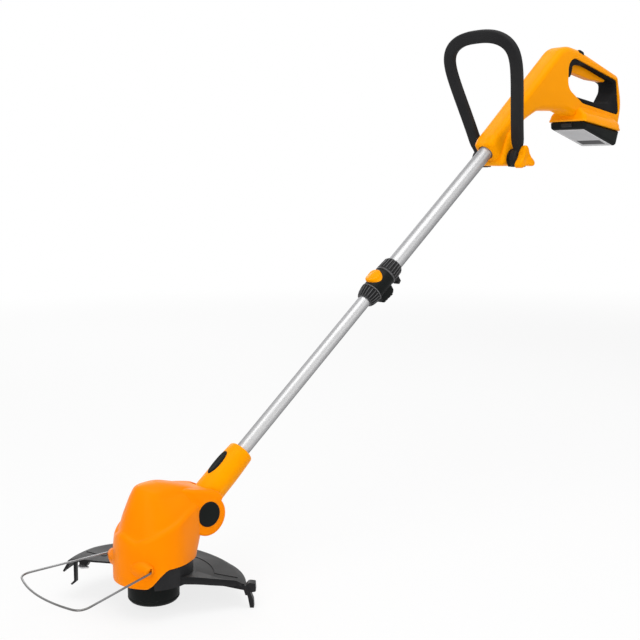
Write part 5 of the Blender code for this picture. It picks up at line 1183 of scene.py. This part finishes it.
pin = (pivotAt, 0, 0)
wide, half = neck["knuckle"], neck["knuckleHalf"]
knuckleProfile = softCorners([(0.004, -half), (wide, -half, 0.0015), (wide, half, 0.0015), (0.004, half)])
neckBore = [(0.0125, neckTop - 0.01), (0.0109, neckTop + 0.0008), (0.0109, neckTop + 0.0553)]
for side, word in ((1, "left"), (-1, "right")):
    shell = ringMesh(f"neck{word.title()}", neckRings(), shaftFrame)
    low, high = sorted((side * seam, -side * 0.05))
    cuts = [
        boxPiece("otherHalf", (neckTop - 0.02, low, -0.05), (pivotAt + 0.05, high, 0.05), shaftFrame),
        turnedPiece("neckBore", neckBore, shaftFrame, axis="X"),
        rodPiece("pinBore", 0.0055, -0.06, 0.06, shaftFrame, pin),
        tiltButtonPiece("tiltWell", fit, 0.004),
    ]
    carve(shell, adds=[turnedPiece("knuckle", knuckleProfile, shaftFrame, pin, axis="Y")], cuts=cuts)
    dress(shell, "handleOrange", "lower_shaft", "orange_plastic", f"neck_shell_{word}")
buttonPiece = tiltButtonPiece("tiltButton", 0.0, 0.0)
dress(buttonPiece, "blackPlastic", "tilt_button", "black_plastic", "tilt_button", sharp=50)
print("neck made")

# Motor housing

housing = {
    "earRadius": 0.0292,
    "earDrop": 0.0025,
    "earHalf": 0.0362,
    "earSlope": 0.0095,
    "sideDrop": 0.0045,
    "skirtBottom": 0.037,
    "skirtRadius": 0.056,
    "rearBottom": 0.0625,
    "coverRadius": 0.0475,
    "capHeight": 0.162,
    "capRadius": 0.0265,
    "crownHeight": 0.173,
    "hubHalf": 0.0345,
    "hubCap": 0.018,
    "screws": ((0.025, 0.08, 0.043), (-0.03, 0.09, 0.04), (0.03, 0.14, 0.031)),
}
wire = {
    "pivotX": -0.037,
    "pivotZ": 0.065,
    "bossRadius": 0.0085,
    "bossHalf": 0.0515,
    "radius": 0.0015,
    "pivotHalf": 0.0545,
    "frontX": -0.1594,
    "frontZ": 0.0535,
    "frontHalf": 0.0845,
    "bow": 0.0158,
    "corner": 0.016,
}


def planRadius(angle, front, rear, half):
    # Round in front, then a straight flank that leaves the circle along its tangent
    away = abs(math.remainder(angle, 2 * math.pi))
    corner = Vector((rear * 0.8, half))
    touch = math.atan2(corner.y, corner.x) + math.acos(min(front / corner.length, 1.0))
    side = front / math.cos(max(touch - away, 0.0))
    if math.cos(away) < 1e-6:
        return side
    return (side**-9 + (rear / math.cos(away)) ** -9) ** (-1 / 9)


def shoulderHeight(angle):
    # Crease round the housing, lowest on the flanks and highest at the hub
    away = abs(math.degrees(math.remainder(angle, 2 * math.pi)))
    if away < 146:
        return max(0.137 - 0.000327 * max(away - 33, 0), 0.0995)
    return 0.0995 + 0.008 * ease((away - 146) / 34)


def planRing(front, rear, half, height):
    ring = []
    for a in turnAngles(96):
        radius = planRadius(a, front, rear, half)
        x = radius * math.cos(a)
        ring.append((x, radius * math.sin(a), height(a, x)))
    return ring


def stepCutter(name, grow):
    foot, top = -0.037, -0.0115
    bottom, rear = housing["skirtBottom"], housing["rearBottom"]
    corners = [
        (foot, bottom - 0.01, 0), (0.13, bottom - 0.01, 0), (0.13, rear, 0), (top + 0.003, rear, 0),
        (top - 0.002, rear - 0.0022, 0), (top - 0.01, rear - 0.009, 0), (foot + 0.006, bottom + 0.005, 0),
        (foot, bottom, 0),
    ]
    corners = [(x, z, 0) for x, z in insetOutline(corners, -grow)]
    return evenSlab(name, corners, 0.08, place=headFrame)


def neckSwing(radius):
    # Room that the neck needs over its whole tilt
    centre = Vector((pivotBack, pivotHeight))
    top, bottom = shaftPitch, shaftPitch - math.radians(47)
    up, down = heading(top), heading(bottom)
    points = [centre + up * 0.16 + Vector((-up.y, up.x)) * radius]
    first, last = top + math.pi / 2, bottom + 3 * math.pi / 2
    points += [centre + heading(first + (last - first) * k / 48) * radius for k in range(49)]
    points.append(centre + down * 0.16 - Vector((-down.y, down.x)) * radius)
    return [(p.x, p.y, 0) for p in points]


def housingForm(name):
    # Rings from the skirt up to the crown: reach in front, behind and aside, and the height round the ring
    bottom, rear = housing["skirtBottom"], housing["rearBottom"]
    skirt, cover, cap, hub = (housing[k] for k in ("skirtRadius", "coverRadius", "capRadius", "hubHalf"))

    def level(height):
        return lambda a, x: height

    def wall(share, lift=0.0):
        return lambda a, x: rear + (shoulderHeight(a) - rear) * share + lift

    def over(share):
        def height(a, x):
            low = shoulderHeight(a) + 0.004
            side = housing["sideDrop"] * math.sin(a) ** 2
            return low + (housing["capHeight"] - side - 0.1 * max(x + 0.015, 0.0) - low) * share

        return height

    def roof(drop, slope, side):
        def height(a, x):
            fall = slope * max(x - 0.008, 0.0) + 0.1 * max(x - 0.03, 0.0)
            return housing["crownHeight"] - drop - side * math.sin(a) ** 2 - fall

        return height

    rows = [
        (skirt - 0.0015, 0.049, 0.038, level(bottom)),
        (skirt - 0.0003, 0.0502, 0.0392, level(bottom + 0.0006)),
        (skirt, 0.0505, 0.0395, level(bottom + 0.002)),
        (skirt, 0.056, 0.04, wall(0.0)),
        (skirt - 0.0005, 0.0705, hub + 0.003, wall(0.5)),
        (skirt - 0.0018, 0.0718, hub + 0.0014, wall(1.0, -0.006)),
        (skirt - 0.0022, 0.0722, hub + 0.0006, wall(1.0, -0.0028)),
        (skirt - 0.0034, 0.073, hub - 0.0008, wall(1.0, -0.0002)),
        (cover + 0.003, 0.0728, hub - 0.0028, wall(1.0, 0.0022)),
        (cover + 0.0004, 0.0726, hub - 0.0042, wall(1.0, 0.0034)),
        (cover - 0.0008, 0.073, hub - 0.0048, over(0.04)),
        (0.0434, 0.0732, hub - 0.0062, over(0.28)),
        (0.039, 0.0735, hub - 0.0075, over(0.5)),
        (0.0344, 0.0738, 0.0262, over(0.72)),
        (0.0312, 0.074, 0.0246, over(0.87)),
        (0.0283, 0.074, 0.023, over(0.97)),
        (cap - 0.001, 0.072, 0.0222, roof(0.0066, 0.2, 0.005)),
        (cap - 0.0044, 0.07, 0.0196, roof(0.0034, 0.212, 0.0044)),
        (cap - 0.0105, 0.063, 0.0146, roof(0.0013, 0.225, 0.0024)),
        (cap - 0.019, 0.04, 0.0064, roof(0.0001, 0.23, 0.0006)),
        (0.002, 0.01, 0.0018, roof(0.0, 0.23, 0.0)),
    ]
    rings = [planRing(*row) for row in rows]
    return subdivide(ringMesh(name, rings, headFrame, crease=(0,)), 1)


def earPlate(name):
    # Round ear at the hub that runs up into the dome: outline point and rounding
    ear, radius = housing["earHalf"], housing["earRadius"]
    centre = Vector((pivotBack, pivotHeight - housing["earDrop"]))
    outline = [(centre + heading(math.radians(158 + 240 * k / 60)) * radius, 0.0025) for k in range(61)]
    for x, z, rounding in (
        (0.0972, 0.1385, 0.003), (0.0945, 0.1435, 0.0035), (0.09, 0.1478, 0.004), (0.085, 0.1503, 0.0045),
        (0.078, 0.1524, 0.005), (0.07, 0.1542, 0.005), (0.06, 0.1562, 0.005), (0.05, 0.1579, 0.005),
        (0.04, 0.1593, 0.0045), (0.0345, 0.1592, 0.0035), (0.0322, 0.1566, 0.003), (0.033, 0.152, 0.003),
        (0.0348, 0.148, 0.003), (0.0375, 0.142, 0.003), (0.041, 0.135, 0.0028),
    ):
        outline.append((Vector((x, z)), rounding))
    count = len(outline)
    inward = []
    for i in range(count):
        forth = (outline[(i + 1) % count][0] - outline[i - 1][0]).normalized()
        inward.append(Vector((-forth.y, forth.x)))

    def face(point):
        # The face leans in towards the dome
        lean = housing["earSlope"] * ease((0.052 - point.x) / 0.024)
        return ear - lean - 0.22 * max(point.y - 0.14, 0.0)

    def ring(place, drop):
        made = []
        for (point, rounding), normal in zip(outline, inward):
            here = place(point, normal * rounding)
            made.append((here, face(here) - rounding * drop))
        return made

    layers = [ring(lambda p, n, s=share: centre + (p + n - centre) * s, 0.0) for share in (0.5, 0.8)]
    for k in range(9):
        a = math.pi / 2 * k / 8
        layers.append(ring(lambda p, n, s=1 - math.sin(a): p + n * s, 1 - math.cos(a)))
    near = [[(p.x, -level, p.y) for p, level in ring] for ring in layers]
    far = [[(p.x, level, p.y) for p, level in ring] for ring in reversed(layers)]
    return ringMesh(name, near + far, headFrame)


ear = housing["earHalf"]
wireCentre = (wire["pivotX"], 0, wire["pivotZ"])
x, z = wire["pivotX"], wire["pivotZ"]
wireSlot = [
    (x - 0.002, z - 0.0022, 0.001), (x + 0.0024, z - 0.0022, 0.001),
    (x + 0.003, z + 0.0046, 0.001), (x + 0.0004, z + 0.0046, 0.001),
]
half = wire["bossHalf"]
bossEnd = [(0.014, 0.034), (0.011, 0.041), (wire["bossRadius"], 0.0455), (0.0074, 0.0488), (0.0062, 0.0506)]
bossEnd += [(0.0044, half), (0.002, half)]
bossProfile = [(r, -y) for r, y in reversed(bossEnd)] + bossEnd
floorProfile = [(0.046, 0.066), (0.046, 0.089), (0.028, 0.096)]
motorProfile = [(0.012, 0.0525), (0.012, 0.0797), (0.0273, 0.0797), (0.0273, 0.1443)]
capRadius = housing["hubCap"]
for side, word in ((-1, "left"), (1, "right")):
    shell = housingForm(f"motorHousing{word.title()}")
    adds = [earPlate("earForm"), turnedPiece("bosses", bossProfile, headFrame, wireCentre, axis="Y")]
    floorCavity = turnedPiece("floorCavity", floorProfile, headFrame)
    posts = [screwPost(f"post{n}", (x, z), headFrame) for n, (x, z, y) in enumerate(housing["screws"])]
    carve(floorCavity, cuts=posts)
    low, high = sorted((side * seam, -side * 0.09))
    wellLow, wellHigh = sorted((side * (ear + 0.01), side * (ear - 0.0032)))
    clevis = neckSwing(neck["knuckle"] + 0.0005)
    cuts = [
        boxPiece("otherHalf", (-0.12, low, 0.0), (0.15, high, 0.25), headFrame),
        evenSlab("clevis", clevis, neck["knuckleHalf"] + 0.0005, place=headFrame),
        floorCavity,
        rodPiece("spoolRoom", 0.053, 0.027, 0.0617, headFrame, axis="Z"),
        turnedPiece("motorRoom", motorProfile, headFrame),
        stepCutter("rearStep", 0.0),
        rodPiece("pinBore", 0.0053, -0.06, 0.06, headFrame, hubCentre),
        rodPiece("capWell", capRadius + fit, wellLow, wellHigh, headFrame, hubCentre),
        rodPiece("wireBore", 0.0018, -0.06, 0.06, headFrame, wireCentre, count=32),
        slabPiece("wireSlotNear", wireSlot, -0.06, -0.0478, headFrame),
        slabPiece("wireSlotFar", wireSlot, 0.0478, 0.06, headFrame),
    ]
    if side > 0:
        cuts += [screwWell(f"well{n}", (x, z), y, headFrame) for n, (x, z, y) in enumerate(housing["screws"])]
    carve(shell, adds, cuts)
    dress(shell, "headOrange", "head", "orange_plastic", f"motor_housing_{word}", sharp=32)
    inner, face = side * (ear - 0.0029), side * (ear + 0.0012)
    capProfile = softCorners([(0.001, inner), (capRadius, inner), (capRadius, face, 0.001), (0.001, face)])
    capPiece = turnedPiece(f"hubCap{word.title()}", capProfile, headFrame, hubCentre, axis="Y")
    dress(capPiece, "blackPlastic", "head", "black_plastic", f"hub_cap_{word}")
for number, (x, z, y) in enumerate(housing["screws"], 1):
    screwPiece(f"headScrew{number}", (x, z), y, "head", f"head_screw_{number}", headFrame)
print("motor housing made")

# Spool

cupWall = [
    (0.0043, 0.05), (0.0363, 0.05, 0.004), (0.0363, 0.012, 0.0004), (0.0357, 0.0112, 0.0003),
    (0.0357, 0.0104, 0.0003), (0.0363, 0.0096, 0.0004), (0.0363, 0.0075, 0.002), (0.033, 0.0034, 0.002),
    (0.0295, 0.003, 0.0006), (0.0275, 0.003), (0.0275, 0.0055), (0.0328, 0.0085, 0.0005),
    (0.0338, 0.011, 0.001), (0.0338, 0.0475, 0.001), (0.0043, 0.0475),
]
spool = turnedPiece("spoolCup", softCorners(cupWall, closed=True), headFrame, hollow=True, count=128)
dress(spool, "blackPlastic", "spool", "black_plastic", "spool_cup", sharp=30)
knobWall = [(0.001, 0.0), (0.0205, 0.0, 0.002), (0.027, 0.003, 0.004), (0.027, 0.008, 0.0006), (0.001, 0.008)]
bump = turnedPiece("bumpKnob", softCorners(knobWall), headFrame)
dress(bump, "blackPlastic", "bump", "black_plastic", "bump_knob")
print("spool made")

# Guard

guard = {
    "radius": 0.13,
    "innerRadius": 0.042,
    "collarRadius": 0.056,
    "collarBottom": 0.035,
    "wall": 0.0026,
    "start": math.radians(-44),
    "end": math.radians(127),
    "collarReach": math.radians(121),
    "root": 0.044,
    "rim": 0.0357,
    "tilt": 0.081,
    "lean": 0.1,
    "rise": 0.0145,
    "drop": 0.011,
    "skirt": 0.015,
    "flare": 0.0025,
    "leg": 0.0182,
    "webFoot": (0.002, -0.053),
    "webTip": (0.0935, -0.088),
    "webRise": 0.0485,
    "panelReach": (0.085, 0.1185),
    "panelTurn": (math.radians(-35), math.radians(112)),
    "panelRise": 0.0007,
}


def guardHeight(x, y, height):
    # The dish leans and tilts outside its collar, within its rise and drop
    outside = math.hypot(x, y) - guard["collarRadius"]
    offset = guard["lean"] * y - guard["tilt"] * x
    share = outside / (0.002 if offset > 0 else guard["radius"] - guard["collarRadius"])
    return height + min(max(offset, -guard["drop"]), guard["rise"]) * min(max(share, 0.0), 1.0)


def guardRings(profile, start, end, count):
    rings = []
    for i in range(count + 1):
        a = start + (end - start) * i / count
        ring = []
        for radius, height in profile:
            x, y = radius * math.cos(a), radius * math.sin(a)
            ring.append((x, y, guardHeight(x, y, height)))
        rings.append(ring)
    return rings


def guardPart(name, profile, start, end, count, rounding=0.0):
    corners = [(r, h, rounding) for r, h in profile]
    return ringMesh(name, guardRings(softCorners(corners, True, 3), start, end, count), headFrame)


def dishHeight(radius):
    # Top of the dish before it is tilted
    root, rim = guard["root"], guard["rim"]
    line = [(0.0, root), (0.058, root), (0.093, rim + 0.0035), (0.12, rim + 0.0015)]
    line.append((guard["radius"], rim - 0.0015))
    for (r0, z0), (r1, z1) in zip(line, line[1:]):
        if radius <= r1:
            return z0 + (z1 - z0) * (radius - r0) / (r1 - r0)
    return line[-1][1]


def crossSection(near, far, tops, feet):
    return [(*near, tops[0]), (*far, tops[1]), (*far, feet[1]), (*near, feet[0])]


def guardWeb():
    # Raised web at the guard's near end, and the rib along its outer edge
    foot, tip = Vector(guard["webFoot"]), Vector(guard["webTip"])
    innerFoot = heading(guard["start"] + 0.05) * (guard["collarRadius"] - 0.004)
    innerTip = heading(guard["start"] + 0.01) * (guard["radius"] - 0.006)
    aside = Vector((tip.y - foot.y, foot.x - tip.x)).normalized() * -guard["wall"]
    web, rib = [], []
    for k in range(25):
        t = k / 24
        outer, inner = foot.lerp(tip, t), innerFoot.lerp(innerTip, t)
        base = guard["webRise"] - 0.008 * t - 0.0042 * ease((t - 0.86) / 0.14)
        high = guardHeight(outer.x, outer.y, base)
        low = guardHeight(inner.x, inner.y, dishHeight(inner.length) - 0.0001)
        web.append(crossSection(outer, inner, (high, low), (high - 0.00234, low - 0.00234)))
        drop = 0.011 - 0.002 * t - 0.005 * ease((t - 0.8) / 0.2)
        rib.append(crossSection(outer, outer + aside, (high - 0.0003,) * 2, (high - drop,) * 2))
    return ringMesh("webForm", web, headFrame), ringMesh("webRib", rib, headFrame)


def guardPanel():
    # Thin raised panel on top of the dish
    (start, end), rise = guard["panelReach"], guard["panelRise"]
    profile = [(start, dishHeight(start) - 0.001)]
    for k in range(7):
        r = start + 0.0003 + (end - start - 0.0006) * k / 6
        profile.append((r, dishHeight(r) + rise))
    profile.append((end, dishHeight(end) - 0.001))
    return ringMesh("panelForm", guardRings(profile, *guard["panelTurn"], 80), headFrame)


def atRim(*points):
    return [(guard["radius"] + out, guard["rim"] + up) for out, up in points]


def makeGuard():
    top = housing["rearBottom"] - fit
    rim, root, wall = guard["rim"], guard["root"], guard["wall"]
    outer, collar = guard["radius"], guard["collarRadius"]
    foot = outer + guard["flare"]
    middle = (collar + outer) / 2
    skirt = rim - guard["skirt"]
    dishProfile = [
        (collar - 0.006, root), (collar + 0.002, root, 0.003), (middle, rim + 0.0035, 0.008),
        (outer - 0.01, rim + 0.0015, 0.004), (outer, rim - 0.0015, 0.0025), (foot, skirt, 0.0008),
        (foot - wall, skirt, 0.0008), (outer - wall * 1.3, rim - wall * 1.8, 0.002),
        (outer - 0.011, rim + 0.0015 - wall, 0.004), (middle, rim + 0.0035 - wall, 0.008),
        (collar + 0.002, root - wall, 0.003), (collar - 0.006, root - wall),
    ]
    start, end = guard["start"], guard["end"]
    piece = ringMesh("guard", guardRings(softCorners(dishProfile, True), start, end, 120), headFrame)
    inner, bottom = guard["innerRadius"], guard["collarBottom"]
    collarProfile = [(inner, top), (collar, top), (collar, bottom), (inner, bottom)]
    ribProfile = [
        (collar + 0.0015, root - 0.001), (middle, rim + 0.003), *atRim((-0.006, 0.0), (-0.002, -0.008)),
        (middle, rim - 0.0065), (collar + 0.0015, bottom + 0.001),
    ]
    legProfile = atRim((-0.008, -0.001), (0.001, -0.0012), (0.0074, -0.0123), (0.0114, -0.0224))
    legProfile += [(outer + 0.012, skirt - guard["leg"]), (outer + 0.0062, skirt - guard["leg"])]
    legProfile += atRim((0.0031, -0.0166), (-0.0013, -0.007))
    farLeg = atRim((-0.013, 0.0), (-0.009, -0.001), (-0.009, -0.031))
    farLeg += atRim((-0.0035, -0.0365), (-0.0058, -0.038), (-0.0125, -0.0325))
    farToe = atRim((-0.001, -0.006), (0.0014, -0.007), (0.008, -0.018), (0.0055, -0.0195))
    block = atRim((-0.033, 0.0016), (-0.018, 0.0008), (-0.018, -0.0088), (-0.027, -0.0092))
    bumper = atRim((-0.001, -0.003), (0.0034, 0.0022), (0.006, 0.0032))
    bumper += atRim((0.014, 0.0022), (0.0148, -0.0095), (0.0066, -0.0112))
    inside = 0.0005
    reach = guard["collarReach"]
    adds = [
        guardPart("collarForm", collarProfile, -reach, reach, 96),
        guardPart("nearRib", ribProfile, start + inside, start + math.radians(2.2), 2),
        guardPart("nearLeg", legProfile, start + inside, start + math.radians(5), 4, 0.0008),
        guardPart("farLeg", farLeg, end - math.radians(3), end - inside, 3, 0.0008),
        guardPart("farToe", farToe, end - math.radians(3), end - inside, 3, 0.0008),
        guardPart("cutterBlock", block, end - math.radians(6), end - inside * 2, 4, 0.0008),
        guardPart("nearBumper", bumper, start + inside * 2, start + math.radians(5.5), 4, 0.0014),
        guardPanel(),
        *guardWeb(),
    ]
    frontForm = rodPiece("frontForm", 0.0568, 0.029, 0.0725, headFrame, axis="Z")
    carve(frontForm, cuts=[stepCutter("guardStep", -0.0008)])
    carve(piece, adds=adds, cuts=[frontForm])
    dress(piece, "guardPlastic", "head", "black_plastic", "guard", sharp=35)


makeGuard()

outwards = heading(guard["end"])
ahead = Vector((-outwards.y, outwards.x))
blade = [(-0.033, 0.0), (-0.018, 0.0), (-0.019, 0.007), (-0.025, 0.009), (-0.033, 0.003)]
rings = []
for lower, shrink in ((0.0, 0.0), (0.0012, 0.0), (0.002, 0.0008)):
    ring = []
    for out, along in blade:
        point = outwards * (guard["radius"] + out) + ahead * (along * (1 - shrink * 60) + fit)
        ring.append((point.x, point.y, guardHeight(point.x, point.y, guard["rim"] - 0.006 - lower)))
    rings.append(ring)
cutter = ringMesh("lineCutter", rings, headFrame)
dress(cutter, "steelFastener", "head", "steel", "line_cutter")
print("guard made")

# Wire guard


def wirePath():
    x, half, z = wire["pivotX"], wire["pivotHalf"], wire["pivotZ"]
    frontX, frontHalf, frontZ, bow = (wire[key] for key in ("frontX", "frontHalf", "frontZ", "bow"))
    pivotPoint, corner = Vector((x, -half, z)), Vector((frontX, -frontHalf, frontZ))
    arm = (corner - pivotPoint).normalized()
    path = [Vector((x, -half + 0.008, z)), Vector((x, -half + 0.003, z))]
    path += [bend(path[1], pivotPoint, pivotPoint + arm * 0.004, k / 5) for k in range(6)]
    barEnd = Vector((frontX - bow * 0.25, -frontHalf * 0.86, frontZ))
    entry = corner - arm * wire["corner"]
    leave = corner + (barEnd - corner).normalized() * wire["corner"]
    first = path[-1]
    path += [first.lerp(entry, k / 8) for k in range(1, 8)]
    path += [bend(entry, corner, leave, k / 12) for k in range(13)]
    edge = (leave.y / frontHalf) * 0.96
    for k in range(1, 15):
        v = edge * (1 - k / 14)
        path.append(Vector((frontX - bow * (1 - v * v), v * frontHalf, frontZ)))
    return path + [Vector((p.x, -p.y, p.z)) for p in reversed(path[:-1])]


section = circle(wire["radius"], 20)
wirePiece = sweptPiece("wireGuard", wirePath(), section, headFrame, side=(0.0995, 0, 0.995))
dress(wirePiece, "steelWire", "wire_guard", "steel", "wire_guard", sharp=60)
print("wire guard made")

# Spring under the bump knob

spring = {"radius": 0.0085, "wire": 0.0007, "turns": 3, "travel": 0.004}
springLow, springHigh = (Vector(corner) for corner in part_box("bump_spring"))
springLength = springHigh.z - springLow.z
springPath = []
steps = spring["turns"] * 32
for k in range(steps + 1):
    rise = spring["wire"] + (springLength - 2 * spring["wire"]) * k / steps
    across = heading(2 * math.pi * k / 32).to_3d() * spring["radius"]
    springPath.append(Vector(((springLow.x + springHigh.x) / 2, 0, springLow.z + rise)) + across)
coil = sweptPiece("bumpSpring", springPath, circle(spring["wire"], 10), side=(0, 0, 1))
dress(coil, "steelFastener", "spool", "steel", "bump_spring", sharp=60)
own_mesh(coil)

# Finishes of the pieces inside

insideFinishes = {
    "motor_can": "steelFastener",
    "rotor": "copperWinding",
    "motor_shaft": "steelFastener",
    "hub_pin": "steelFastener",
    "line_reel": "blackPlastic",
    "wound_line": "lineNylon",
    "terminal_block": "blackPlastic",
    "trigger_switch": "blackPlastic",
}
for nodeName, finish in insideFinishes.items():
    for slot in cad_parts[nodeName].material_slots:
        slot.material = materials[finish]
print("inside pieces finished")
